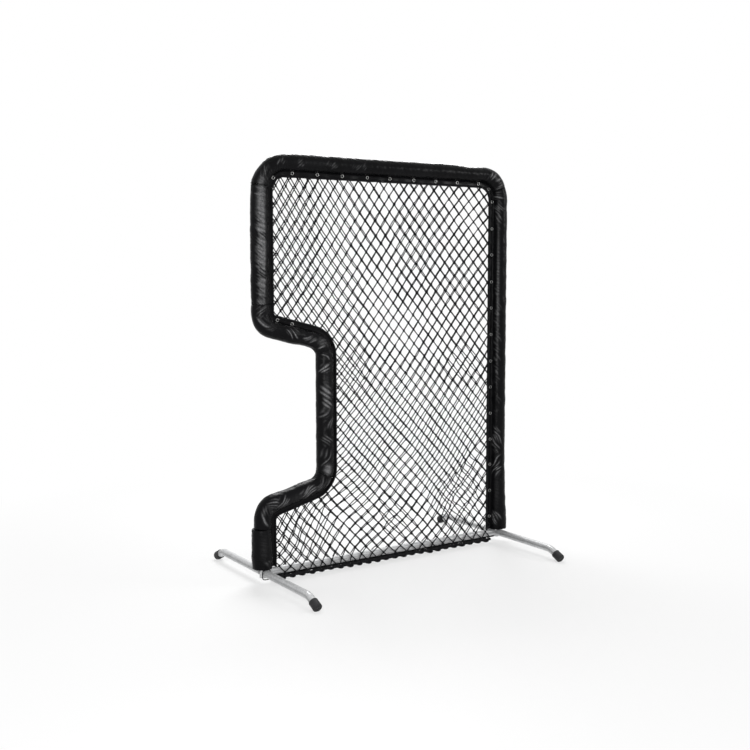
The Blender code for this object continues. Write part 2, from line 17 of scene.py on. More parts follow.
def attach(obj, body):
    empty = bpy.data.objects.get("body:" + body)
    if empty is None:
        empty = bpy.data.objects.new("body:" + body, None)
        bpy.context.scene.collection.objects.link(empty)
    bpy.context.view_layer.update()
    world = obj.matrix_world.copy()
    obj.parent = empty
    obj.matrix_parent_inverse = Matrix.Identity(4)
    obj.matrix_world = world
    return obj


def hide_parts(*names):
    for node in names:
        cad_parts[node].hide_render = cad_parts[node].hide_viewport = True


bl_info = {
    "name": "Padded pitching screen",
    "version": (1, 0, 0),
    "blender": (4, 5, 0),
    "location": "3D View > Sidebar > Screen",
    "description": "Builds the pads, nets, lacing, tubes and caps of a padded pitching screen",
    "category": "Add Mesh",
}

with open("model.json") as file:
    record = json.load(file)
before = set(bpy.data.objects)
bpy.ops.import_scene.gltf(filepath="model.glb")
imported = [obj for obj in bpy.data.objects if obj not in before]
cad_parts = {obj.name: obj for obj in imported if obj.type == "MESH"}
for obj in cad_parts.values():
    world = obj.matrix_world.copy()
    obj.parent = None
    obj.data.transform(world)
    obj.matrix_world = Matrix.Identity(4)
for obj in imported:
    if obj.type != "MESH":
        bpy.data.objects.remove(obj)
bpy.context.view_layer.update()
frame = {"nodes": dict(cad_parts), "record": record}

# The frame's centre line, as in the solid model
HALF_WIDTH = 0.755
TOP_AXIS = 2.093
POST_FOOT = 0.030
RAIL_AXIS = 0.056
TUBE_RADIUS = 0.01905
TUBE_WALL = 0.002
SEAT_GAP = 0.0003
NOTCH_CORNERS = ((-0.755, 0.389), (-0.393, 0.483), (-0.393, 1.195), (-0.755, 1.289))
NOTCH_BEND = 0.085
TOP_BEND = 0.140
RIGHT_SPLICE = 0.839  # height of the splice in the right post
ACROSS = (0.0, 1.0, 0.0)  # square to the screen's plane


# Angles

def around(count):
    """Angles that go round in so many equal steps."""
    return np.arange(count) * 2 * np.pi / count


def wrapped(angle):
    """The same angle between minus and plus half a turn."""
    return (angle + np.pi) % (2 * np.pi) - np.pi


# The frame's centre line

def outline_route(corners, radii, spacing=0.002):
    """Samples a line of straight runs whose corners are arcs that touch both runs.

    Each arc starts radius * tan(turn / 2) before its corner. Returns the lengths, x, z and heading of
    the samples, and the lengths at which each run and arc starts.
    """
    corners = np.asarray(corners, float)
    lengths, points, headings, marks = [], [], [], []
    total, here = 0.0, corners[0]

    def add(share_points, share_headings, size):
        nonlocal total
        marks.append(total)
        lengths.append(total + np.linspace(0, size, len(share_headings)))
        points.append(share_points)
        headings.append(share_headings)
        total += size

    for index in range(1, len(corners)):
        run = corners[index] - here
        heading = math.atan2(run[1], run[0])
        turn, cut = 0.0, 0.0
        if index < len(corners) - 1:
            following = corners[index + 1] - corners[index]
            turn = wrapped(math.atan2(following[1], following[0]) - heading)
            cut = radii[index - 1] * math.tan(abs(turn) / 2)
        ahead = np.array([math.cos(heading), math.sin(heading)])
        size = np.linalg.norm(run) - cut
        count = max(2, int(size / spacing))
        add(here + np.linspace(0, size, count)[:, None] * ahead, np.full(count, heading), size)
        here = here + size * ahead
        if turn:
            radius = radii[index - 1]
            side = math.copysign(1, turn)
            middle = here + radius * side * np.array([-ahead[1], ahead[0]])
            count = max(8, int(radius * abs(turn) / spacing))
            angles = heading + np.linspace(0, turn, count)
            arc = middle + radius * side * np.stack([np.sin(angles), -np.cos(angles)], 1)
            add(arc, angles, radius * abs(turn))
            here = arc[-1]
    marks.append(total)
    lengths, points, headings = map(np.concatenate, (lengths, points, headings))
    return {"s": lengths, "x": points[:, 0], "z": points[:, 1], "heading": headings, "marks": marks}


ROUTE = outline_route(
    [
        (-HALF_WIDTH, POST_FOOT), *NOTCH_CORNERS,
        (-HALF_WIDTH, TOP_AXIS), (HALF_WIDTH, TOP_AXIS), (HALF_WIDTH, POST_FOOT),
    ],
    [NOTCH_BEND] * 4 + [TOP_BEND] * 2,
)
MARKS = ROUTE["marks"]


def on_route(s):
    """Position (x, z) and heading at these lengths, by linear interpolation of the samples."""
    return tuple(np.interp(s, ROUTE["s"], ROUTE[key]) for key in ("x", "z", "heading"))


def beside_route(s, towards_net, depth):
    """Points in space at length s, towards_net from the line in the screen's plane, and depth along Y."""
    x, z, heading = on_route(s)
    beside = x + np.sin(heading) * towards_net, depth, z - np.cos(heading) * towards_net
    return np.stack(np.broadcast_arrays(*beside), -1)


def run_place(run, x=None, z=None):
    """The length at which a straight run, numbered from the left foot, passes this x or this height."""
    start = MARKS[2 * run]
    x_start, z_start, heading = on_route(start + 1e-6)
    if x is None:
        return start + (z - z_start) / math.sin(heading)
    return start + (x - x_start) / math.cos(heading)


def route_bend(s):
    """How sharply the line turns at s, in radians a metre: positive where it turns away from the net."""
    apart = ROUTE["s"] + np.arange(len(ROUTE["s"])) * 1e-9  # so that no two samples share a length
    return np.interp(s, ROUTE["s"], np.gradient(ROUTE["heading"], apart))


# Mesh helpers

def grid_quads(rows, columns, wrap_rows=False):
    """Four corner indices for each cell of a grid that closes on itself across its columns.

    The points are numbered row by row. With wrap_rows the last row joins the first.
    """
    r, c = np.meshgrid(np.arange(rows if wrap_rows else rows - 1), np.arange(columns), indexing="ij")
    below, beside = (r + 1) % rows, (c + 1) % columns
    corners = [r * columns + c, r * columns + beside, below * columns + beside, below * columns + c]
    return np.stack([corner.ravel() for corner in corners], 1)


def repeat_faces(faces, copies, points_each, start=0):
    """The same faces for so many copies of a shape, whose points follow each other."""
    return (start + faces[None] + points_each * np.arange(copies)[:, None, None]).reshape(-1, faces.shape[1])


def make_piece(
    name, points, quads, finish, slot=None, body="screen",
    triangles=(), uv=None, painted_light=None, nodes=(), sharp=None,
):
    """A piece from arrays of points and faces. uv is a pair for each point, and the attribute of painted
    light a number for each point: how far a painted highlight or a painted shade covers it.

    The finish is given by its name, and slot is not used. The piece stands for
    the nodes. Edges sharper than the angle sharp are kept crisp.
    """
    points = np.asarray(points, np.float32).reshape(-1, 3)
    quads = np.asarray(quads, np.int32).reshape(-1, 4)
    triangles = np.asarray(triangles, np.int32).reshape(-1, 3)
    corners = np.concatenate([quads.ravel(), triangles.ravel()])
    starts = np.concatenate([np.arange(len(quads)) * 4, 4 * len(quads) + np.arange(len(triangles)) * 3])
    mesh = bpy.data.meshes.new(name)
    mesh.vertices.add(len(points))
    mesh.vertices.foreach_set("co", points.ravel())
    mesh.loops.add(len(corners))
    mesh.loops.foreach_set("vertex_index", corners)
    mesh.polygons.add(len(starts))
    mesh.polygons.foreach_set("loop_start", starts)
    mesh.polygons.foreach_set("use_smooth", np.ones(len(starts), bool))
    if uv is not None:
        layer = mesh.uv_layers.new(name="lay")
        layer.data.foreach_set("uv", np.asarray(uv, np.float32).reshape(-1, 2)[corners].ravel())
    if painted_light is not None:
        layer = mesh.attributes.new("painted_light", "FLOAT", "POINT")
        layer.data.foreach_set("value", np.asarray(painted_light, np.float32).ravel())
    mesh.update(calc_edges=True)
    mesh.validate()
    if sharp:
        mesh.set_sharp_from_angle(angle=sharp)
    mesh.materials.append(finish_named(finish))
    piece = bpy.data.objects.new(name, mesh)
    bpy.context.scene.collection.objects.link(piece)
    slot = slot or finish
    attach(piece, body)
    if nodes:
        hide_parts(*nodes)
    return piece


def cord_lay(s, sides):
    """For each point of a cord's rings, the length along the cord and the share of a turn round it."""
    return np.stack(np.broadcast_arrays(s[..., None], np.arange(sides) / sides), -1)


def make_cord(name, rings, s, finish, closed=False, nodes=()):
    """A cord from its rings, which lie at the lengths s along it."""
    sides = rings.shape[1]
    quads = grid_quads(len(rings), sides, wrap_rows=closed)
    make_piece(name, rings, quads, finish, "black_twine", uv=cord_lay(s, sides), nodes=nodes)


def swept_rings(path, radii, sides, reference):
    """Rings of points square to a path: centre + radius * (cos * side + sin * other side).

    The sides come from the cross product of the path's direction with a reference direction. The path
    may be one row of points or many, and radii may vary along it and round it.
    """
    path = np.asarray(path, float)
    ahead = np.gradient(path, axis=-2)
    ahead /= np.linalg.norm(ahead, axis=-1, keepdims=True)
    side = np.cross(ahead, reference)
    side /= np.linalg.norm(side, axis=-1, keepdims=True)
    other = np.cross(side, ahead)
    angles = around(sides)[:, None]
    spokes = np.cos(angles) * side[..., None, :] + np.sin(angles) * other[..., None, :]
    radii = np.broadcast_to(np.asarray(radii, float), path.shape[:-1] + (sides,))
    return path[..., None, :] + radii[..., None] * spokes


def smooth(share):
    """The cubic that goes from 0 to 1 with level ends."""
    share = np.clip(share, 0, 1)
    return share * share * (3 - 2 * share)


def waves(seed, count, low, high, *axes):
    """A smooth random field over places given by their coordinates on each axis.

    It is the sum of plane waves with random directions and phases, and lengths between low and high,
    divided by the root of their count.
    """
    rng = np.random.default_rng(seed)
    total = 0.0
    for _ in range(count):
        way = rng.normal(size=len(axes))
        way *= 2 * np.pi / (rng.uniform(low, high) * np.linalg.norm(way))
        total = total + np.sin(sum(k * axis for k, axis in zip(way, axes)) + rng.uniform(0, 2 * np.pi))
    return total / math.sqrt(count)


# Finishes

class Nodes:
    """The node tree of a material or of the world, with short calls to add nodes and to link them."""

    def __init__(self, owner, shader="Principled BSDF"):
        owner.use_nodes = True
        self.tree = owner.node_tree
        self.shader = self.tree.nodes[shader]

    def feed(self, socket, value):
        if isinstance(value, bpy.types.NodeSocket):
            self.tree.links.new(value, socket)
        else:
            socket.default_value = value

    def add(self, kind, inputs=(), **settings):
        made = self.tree.nodes.new(kind)
        for key, value in settings.items():
            setattr(made, key, value)
        for key, value in dict(inputs).items():
            socket = next((s for s in made.inputs if s.name == key and s.enabled), None)
            self.feed(socket or made.inputs[key], value)
        return made

    def set(self, **inputs):
        for key, value in inputs.items():
            self.feed(self.shader.inputs[key.replace("_", " ")], value)

    def math(self, operation, a, b=0.0):
        return self.add("ShaderNodeMath", {0: a, 1: b}, operation=operation).outputs[0]

    def place(self):
        return self.add("ShaderNodeTexCoord").outputs["Object"]

    # The attribute of painted light: a share of painted highlight on the vinyl, of painted shade on the
    # steel.
    def painted_light(self):
        return self.add("ShaderNodeAttribute", attribute_name="painted_light").outputs["Fac"]

    def noise(self, where, scale, detail=3.0, roughness=0.5):
        inputs = {"Vector": where, "Scale": scale, "Detail": detail, "Roughness": roughness}
        return self.add("ShaderNodeTexNoise", inputs).outputs["Fac"]

    def cells(self, where, scale, output="Distance", **settings):
        return self.add("ShaderNodeTexVoronoi", {"Vector": where, "Scale": scale}, **settings).outputs[output]

    def ramp(self, value, *stops):
        made = self.add("ShaderNodeValToRGB", {"Fac": value})
        elements = made.color_ramp.elements
        for element, (place, colour) in zip(elements, stops):
            element.position = place
            element.color = colour if hasattr(colour, "__len__") else (colour, colour, colour, 1)
        return made.outputs["Color"]

    def tones(self, value, colour, *stops):
        """The colour, multiplied at each stop by that stop's factor."""
        return self.ramp(value, *((place, tint(colour, factor)) for place, factor in stops))

    def mix(self, share, first, second):
        made = self.add("ShaderNodeMix", {"Factor": share, "A": first, "B": second}, data_type="RGBA")
        return next(out for out in made.outputs if out.enabled)

    def bump(self, height, distance, strength, under=None):
        inputs = {"Height": height, "Distance": distance, "Strength": strength}
        if under is not None:
            inputs["Normal"] = under
        return self.add("ShaderNodeBump", inputs).outputs["Normal"]

    def background_rays(self):
        """1 for what the camera sees, also in gloss and through glass, and 0 for light."""
        rays = self.add("ShaderNodeLightPath").outputs
        seen = self.math("MAXIMUM", rays["Is Glossy Ray"], rays["Is Transmission Ray"])
        return self.math("MAXIMUM", rays["Is Camera Ray"], seen)


def tint(colour, factor):
    return (*(min(1.0, c * factor) for c in colour), 1.0)


def vinyl_finish(n, colours):
    """Glossy black vinyl: a fine pressed grain, soft creases, and a painted highlight along its folds' crests
    and in broad sheen bands.
    """
    where = n.place()
    base = n.tones(n.noise(where, 6.0, 4.0, 0.6), colours.vinyl_colour, (0.35, 0.8), (0.75, 1.6))
    # Painted highlight: where the piece's attribute of painted light is high, broken up by fine noise, the
    # vinyl takes the pale highlight colour.
    painted_highlight = n.math("MULTIPLY", n.painted_light(), n.ramp(n.noise(where, 160.0), (0.35, 0.45), (0.6, 1.0)))
    creases = n.bump(n.noise(where, 55.0, 6.0, 0.65), 0.0022, 0.30)
    n.set(
        Base_Color=n.mix(painted_highlight, base, tint(colours.vinyl_highlight, 1.0)),
        Roughness=n.ramp(n.noise(where, 22.0, 5.0), (0.3, 0.20), (0.75, 0.32)),
        Normal=n.bump(n.cells(where, 900.0, feature="SMOOTH_F1"), 0.0001, 0.5, creases),
        Specular_IOR_Level=0.065,
    )


def steel_finish(n, colours):
    """Galvanised tube: pale spangles in a dull zinc coat, and a painted shade band where the piece's
    attribute of painted light says so.
    """
    where = n.place()
    spangle = n.add("ShaderNodeSeparateColor", {"Color": n.cells(where, 170.0, "Color")}).outputs["Red"]
    cloud = n.math("MULTIPLY", n.noise(where, 14.0, 5.0), 0.6)
    cloud = n.math("ADD", n.math("MULTIPLY", spangle, 0.45), cloud)
    zinc = n.tones(cloud, colours.steel_colour, (0.2, 0.92), (0.8, 1.28))
    # A darker copy of the zinc: painted shade along the level tubes' sides.
    painted_shade = n.tones(cloud, colours.steel_colour, (0.2, 0.52), (0.8, 0.72))
    n.set(
        Base_Color=n.mix(n.painted_light(), zinc, painted_shade),
        Roughness=n.ramp(cloud, (0.2, 0.50), (0.8, 0.34)),
        Normal=n.bump(n.noise(where, 260.0), 0.0002, 0.35),
        Metallic=0.3,
    )


def rubber_finish(n, colours):
    """Moulded rubber: matte, with a fine pebble and a dusty bloom."""
    where = n.place()
    n.set(
        Base_Color=n.tones(n.noise(where, 40.0, 5.0, 0.6), colours.rubber_colour, (0.3, 0.8), (0.8, 1.7)),
        Roughness=n.ramp(n.noise(where, 90.0), (0.3, 0.55), (0.8, 0.75)),
        Normal=n.bump(n.noise(where, 1400.0, 2.0), 0.00015, 0.6),
        Specular_IOR_Level=0.35,
    )


def twine_finish(n, colours, lay, plies):
    """Twisted twine: plies that wind round the cord by its own u (along) and v (round), with fibres, a
    painted shade in the grooves between the plies and a painted highlight on their crowns.
    """
    uv = n.add("ShaderNodeUVMap", uv_map="lay").outputs["UV"]
    parts = n.add("ShaderNodeSeparateXYZ", {"Vector": uv}).outputs
    turn = n.math("ADD", n.math("DIVIDE", parts["X"], lay), parts["Y"])
    ply = n.math("ABSOLUTE", n.math("SINE", n.math("MULTIPLY", turn, math.pi * plies)))
    fibre = n.noise(n.place(), 1500.0)
    # Painted shade in the grooves between the plies and painted highlight on their crowns, mixed with the
    # fibres' tone.
    shade = n.math("ADD", n.math("MULTIPLY", ply, 0.7), n.math("MULTIPLY", fibre, 0.4))
    n.set(
        Base_Color=n.tones(shade, colours.twine_colour, (0.1, 0.5), (1.0, 1.9)),
        Normal=n.bump(ply, lay * 0.12, 0.9, n.bump(fibre, 0.0002, 0.5)),
        Roughness=0.78,
        Specular_IOR_Level=0.12,
    )


def foam_finish(n, colours):
    """Closed-cell foam: small cells with a painted shade in their hollows and paler walls between them, soft
    and dull.
    """
    cells = n.cells(n.place(), 700.0)
    # Painted shade: darker in the cells' hollows, paler on the walls.
    n.set(
        Base_Color=n.tones(cells, colours.foam_colour, (0.0, 0.6), (0.7, 1.2)),
        Normal=n.bump(cells, 0.0006, 0.8),
        Roughness=0.9,
    )


def grommet_finish(n, colours):
    """Nickelled brass eyelets: bright on the roll, dulled by handling."""
    wear = n.noise(n.place(), 350.0, 4.0)
    n.set(
        Base_Color=n.tones(wear, colours.grommet_colour, (0.3, 0.55), (0.7, 1.1)),
        Roughness=n.ramp(wear, (0.3, 0.42), (0.7, 0.24)),
        Metallic=1.0,
    )


# The finishes by name: what makes each, and for cords the length of a whole twist and the number of plies
FINISH_MAKERS = {
    "black_vinyl": (vinyl_finish,),
    "galvanised_steel": (steel_finish,),
    "cap_rubber": (rubber_finish,),
    "grey_foam": (foam_finish,),
    "grommet_metal": (grommet_finish,),
    "net_twine": (twine_finish, 0.006, 2),
    "lacing_rope": (twine_finish, 0.018, 3),
    "thin_cord": (twine_finish, 0.008, 3),
}
FINISHES = {}


def finish_named(name):
    """The finish of this name, made once from the scene's colours."""
    if name not in FINISHES:
        FINISHES[name] = bpy.data.materials.new(name)
        maker, *values = FINISH_MAKERS[name]
        maker(Nodes(FINISHES[name]), bpy.context.scene.screen_colours, *values)
    return FINISHES[name]


# Settings

def length(label, about, default):
    units = {"unit": "LENGTH", "subtype": "DISTANCE", "precision": 4}
    return FloatProperty(name=label, description=about, default=default, **units)


def colour(label, about, default):
    limits = {"subtype": "COLOR", "size": 3, "min": 0, "max": 1}
    return FloatVectorProperty(name=label, description=about, default=default, **limits)


class ScreenColours(bpy.types.PropertyGroup):
    vinyl_colour: colour("Vinyl", "Colour of the pad covers", (0.0035, 0.0035, 0.004))
    # The colour of the painted highlight along the vinyl's fold crests and in its sheen bands.
    vinyl_highlight: colour("Vinyl highlight", "Colour of the vinyl along the crests of its folds", (0.27, 0.27, 0.275))
    steel_colour: colour("Steel", "Colour of the galvanised tubes", (0.52, 0.525, 0.53))
    rubber_colour: colour("Rubber", "Colour of the leg caps", (0.010, 0.010, 0.011))
    twine_colour: colour("Twine", "Colour of the net and cords", (0.008, 0.008, 0.009))
    foam_colour: colour("Foam", "Colour of the foam inside the pads", (0.16, 0.16, 0.17))
    grommet_colour: colour("Grommets", "Colour of the eyelets", (0.46, 0.46, 0.45))


class PadSettings(bpy.types.PropertyGroup):
    radius: length("Radius", "Radius of a pad's round body", 0.045)
    foot_radius: length("Foot radius", "Radius of the pads at the feet", 0.053)
    foot_shift: length("Foot shift", "How far a foot's pad hangs out from the post", 0.005)
    flare_run: length("Flare", "Height over which the right pad widens to its foot", 0.40)
    reach: length("Flange reach", "From the tube's axis to the edge of the lacing flange", 0.067)
    root: length("Flange root", "From the tube's axis to where the two leaves meet", 0.048)
    leaf: length("Leaf", "Half the thickness of the two leaves together", 0.0018)
    draw_in: length("Draw-in", "How much a cover's end is drawn in at a seam", 0.0026)
    crease: length("Crease depth", "Depth of the deepest creases", 0.0018)
    foam_wall: length("Foam clearance", "How far the foam lies inside the cover", 0.0042)
    end_height: length("Pad foot", "Height of the lowest pads above the ground", 0.0785)


class NetSettings(bpy.types.PropertyGroup):
    twine: length("Twine radius", "Radius of the net's twine", 0.0029)
    knot: length("Knot radius", "Radius of a knot", 0.0062)
    bulge: length("Bulge", "How far each layer swells from the screen's plane", 0.020)
    slack: length("Slack", "How far the knots wander from the smooth lattice", 0.0012)
    spread_from: length("Spread distance", "How far in front the layers are seen to cover each other", 4.62)
    hem: length("Hem height", "Height of the border ropes under the rail", 0.0260)
    spread: length("Spread", "How far each layer passes in front of or behind the rail", 0.0228)
    hem_rope: length("Hem radius", "Radius of the border ropes", 0.0076)
    border: length("Border radius", "Radius of the cords along the flanges", 0.0040)


class CordSettings(bpy.types.PropertyGroup):
    rope: length("Rope radius", "Radius of the rope under the rail", 0.0046)
    loops: IntProperty(name="Loops", description="Loops of the rope by the rail", default=24, min=4, max=60)
    stitch: length("Stitch radius", "Radius of the cord through the grommets", 0.0014)
    tie: length("Tie radius", "Radius of the cord at the pad's foot", 0.0023)
    eyelet: length("Eyelet radius", "Outer radius of a grommet", 0.0090)
    eyelet_hole: length("Eyelet hole", "Radius of a grommet's hole", 0.0060)
    eyelet_line: length("Eyelet line", "From the tube's axis to the middle of the grommets", 0.0530)


class LegSettings(bpy.types.PropertyGroup):
    run: length("Run", "Straight length of a leg tube", 0.42)
    bend: length("Bend", "Radius of the leg tube's bend", 0.10)
    droop: FloatProperty(
        name="Droop", description="How far a leg turns down", default=math.radians(25), subtype="ANGLE"
    )
    cap_radius: length("Cap radius", "Outer radius of a rubber cap", 0.0235)
    cap_length: length("Cap length", "Length of a rubber cap", 0.048)
    cap_floor: length("Cap floor", "Thickness of a cap's end", 0.006)
    cap_round: length("Cap rounding", "Radius of the cap's lower rim", 0.005)
    cap_sole: length("Cap sole", "Depth of the flat worn on the rim", 0.002)


class StageSettings(bpy.types.PropertyGroup):
    camera_place: FloatVectorProperty(
        name="Camera", description="Where the camera stands",
        default=(-3.1126, -4.6214, 1.5569), subtype="TRANSLATION",
    )
    camera_turn: FloatVectorProperty(
        name="Camera turn", description="Yaw, pitch and roll of the camera",
        default=(0.5803, -0.0979, -0.0017), subtype="EULER",
    )
    lens: FloatProperty(name="Lens", description="Focal length in millimetres", default=50.46, unit="CAMERA")
    floor_colour: colour("Floor", "Colour of the floor", (0.93, 0.93, 0.93))


# Pads

NECK_START = math.radians(36)  # from the net's side of a pad to where its round body ends


def pad_section(radius, shift, settings, body_columns=60, neck_columns=8, leaf_columns=5):
    """A pad's section for each radius and shift, as (towards the net, depth, softness, angle) arrays.

    A circle, its middle shifted away from the net, leaves a gap of twice NECK_START on the net's side. From
    its ends a neck closes to the leaves as (1 - q) to the power 1.7, and the leaves run on level to a round
    edge.
    """
    radius, shift = np.asarray(radius, float)[:, None], np.asarray(shift, float)[:, None]
    angles = np.linspace(NECK_START, 2 * np.pi - NECK_START, body_columns)
    q = np.linspace(0, 1, neck_columns + 1)[1:]
    neck_a = radius * math.cos(NECK_START) - shift
    neck_a = neck_a + (settings.root - neck_a) * q
    neck_b = settings.leaf + (radius * math.sin(NECK_START) - settings.leaf) * (1 - q) ** 1.7
    p = np.linspace(0, 1, leaf_columns + 1)[1:]
    leaf_a = settings.root + (settings.reach - settings.leaf - settings.root) * p
    leaf_a = np.broadcast_to(leaf_a, neck_a.shape[:1] + p.shape)
    side_a = np.concatenate([neck_a, leaf_a], 1)
    side_b = np.concatenate([neck_b, np.full(leaf_a.shape, settings.leaf)], 1)
    tip = np.radians([-50, 0, 50])
    tip_a = settings.reach - settings.leaf + settings.leaf * np.cos(tip)
    tip_a = np.broadcast_to(tip_a, neck_a.shape[:1] + tip.shape)
    tip_b = np.broadcast_to(settings.leaf * np.sin(tip), tip_a.shape)
    a = np.concatenate([radius * np.cos(angles) - shift, side_a, tip_a, side_a[:, ::-1]], 1)
    b = np.concatenate([radius * np.sin(angles), -side_b, tip_b, side_b[:, ::-1]], 1)
    side_soft = np.concatenate([1 - q, 0 * p])
    soft = np.concatenate([np.ones(body_columns), side_soft, 0 * tip, side_soft[::-1]])
    return a, b, soft, np.arctan2(b, a)


def creases(s, angle, radius, folds):
    """The sum of long grooves, each depth * exp(-(across / width)^2) * exp(-(along / length)^2) deep.

    A fold has its place (s, angle), its lean from the pad's length, its half length, half width and depth.
    It bends by a share of along^2, and beside it is a lip, 0.45 as high as the groove is deep.
    """
    total = np.zeros(np.broadcast_shapes(s.shape, angle.shape))
    for at, round_at, lean, half_length, half_width, depth in folds:
        near = np.abs(s[:, 0] - at) < 3 * half_length
        ds = s[near] - at
        arc = wrapped(angle[near] - round_at) * radius
        along = ds * math.cos(lean) + arc * math.sin(lean)
        across = arc * math.cos(lean) - ds * math.sin(lean)
        across = across + 0.9 * along**2 / max(half_length, 0.01) * math.sin(7 * at)
        lip = 0.45 * np.exp(-(((across - 1.9 * half_width) / half_width) ** 2))
        groove = np.exp(-((across / half_width) ** 2)) - lip
        total[near] -= depth * groove * np.exp(-((along / half_length) ** 2))
    return total


def fold_list(seed, first, last, per_metre, deepest, crowded=()):
    """Random folds along a pad. More of them stand at the places in crowded, each (place, spread, count)."""
    rng = np.random.default_rng(seed)
    places = list(rng.uniform(first, last, int(per_metre * (last - first))))
    for place, spread, count in crowded:
        places += list(rng.normal(place, spread, count))
    folds = []
    for place in places:
        lean = rng.choice([-1, 1]) * rng.uniform(0.5, 1.45)
        round_at = rng.uniform(-np.pi, np.pi)
        half_length, half_width = rng.uniform(0.010, 0.034), rng.uniform(0.0022, 0.0055)
        folds.append((place, round_at, lean, half_length, half_width, deepest * rng.uniform(0.25, 1.0)))
    return folds


def scatter(index, seed):
    """A number from 0 to 1 for each whole index, as the fraction of a large sine."""
    return np.sin(index * 12.9898 + seed * 78.233) * 43758.5453 % 1


def ribs(s, angle, radius, rows):
    """Rows of slanting folds along whole turns of (s + lean * arc) / spacing, fading from the row's middle.

    Each fold is a ridge of its own height, width and place round the pad. A row has its place (s, angle), its
    half length and half width in s and arc, spacing, lean, depth and how far its folds curl. Folds of a
    negative depth are grooves. Returns the heights, and how far a painted highlight lies on each point along
    a crest, or under 0 where a groove takes it away.
    """
    height, painted_light = np.zeros(angle.shape), np.zeros(angle.shape)
    for at, round_at, half_length, half_width, spacing, lean, depth, curl in rows:
        ds = s - at
        arc = wrapped(angle - round_at) * radius
        bow = curl * spacing * (np.sin(70 * ds + 55 * at) + (arc / half_width) ** 2 * math.sin(90 * at))
        turn = (ds + lean * arc + bow) / spacing
        fold = np.round(turn)
        off = turn - fold + 0.4 * scatter(fold, at + 1) - 0.2
        ridge = np.exp(-(((4.2 - 1.6 * scatter(fold, at)) * off) ** 2))
        own_arc = arc - (scatter(fold, at + 2) - 0.5) * 1.2 * half_width
        own_width = half_width * (0.45 + 0.6 * scatter(fold, at + 3))
        fade = np.exp(-((ds / half_length) ** 4) - (own_arc / own_width) ** 2)
        fade *= 0.3 + 0.7 * scatter(fold, at + 4)
        height += depth * (ridge - 0.25) * fade
        # Painted highlight along each fold's crest; a groove's is below 0 and takes painted highlight away.
        painted_light += np.clip(depth / 0.003, -1, 1) * ridge**2 * smooth((fade - 0.12) / 0.7)
    return height, painted_light


def swells(s, angle, places):
    """How far a cover is pushed out or drawn in round its places.

    It is the sum of depth * exp(-(ds / half length)^2 - (turn / half turn)^2).
    """
    total = np.zeros(angle.shape)
    for at, round_at, half_length, half_turn, depth in places:
        turn = wrapped(angle - round_at)
        total += depth * np.exp(-(((s - at) / half_length) ** 2) - (turn / half_turn) ** 2)
    return total


def body_at(s, last, bodies, run):
    """A pad's radius and shift: they change evenly from one body's to the other's over the last run."""
    share = np.clip(1 - (last - s) / run, 0, 1)
    return tuple(bodies[0][k] + (bodies[1][k] - bodies[0][k]) * share for k in (0, 1))


def end_rows(first, last, spacing):
    """Lengths along a pad, with four more rows at each end, and the share of full size at each row."""
    rows = int((last - first) / spacing)
    s = np.linspace(first, last, rows)
    turned_in = np.array([0.0022, 0.0006, 0.0002, 0])
    shrink = np.array([0.55, 0.88, 0.96, 0.995])
    s = np.concatenate([first + turned_in, s[1:-1], last - turned_in[::-1]])
    return s, np.concatenate([shrink, np.ones(rows - 2), shrink[::-1]])


PAD_ROW = 0.0034  # from one row of a cover's points to the next
FOLD_LIMITS = (-0.0038, 0.0034)  # how deep and how high a cover's folds may go
DRAW_IN_RUN = 0.009  # over this length a cover's end is drawn in
PUCKER_RUN, PUCKER_HEIGHT = 0.013, 0.0009  # the small folds round a cover's end
GATHER_PITCH, GATHER_HEIGHT = 0.0135, 0.0036  # the ridges inside a bend
FULL_BEND = 7  # radians a metre, from which the ridges have their full height


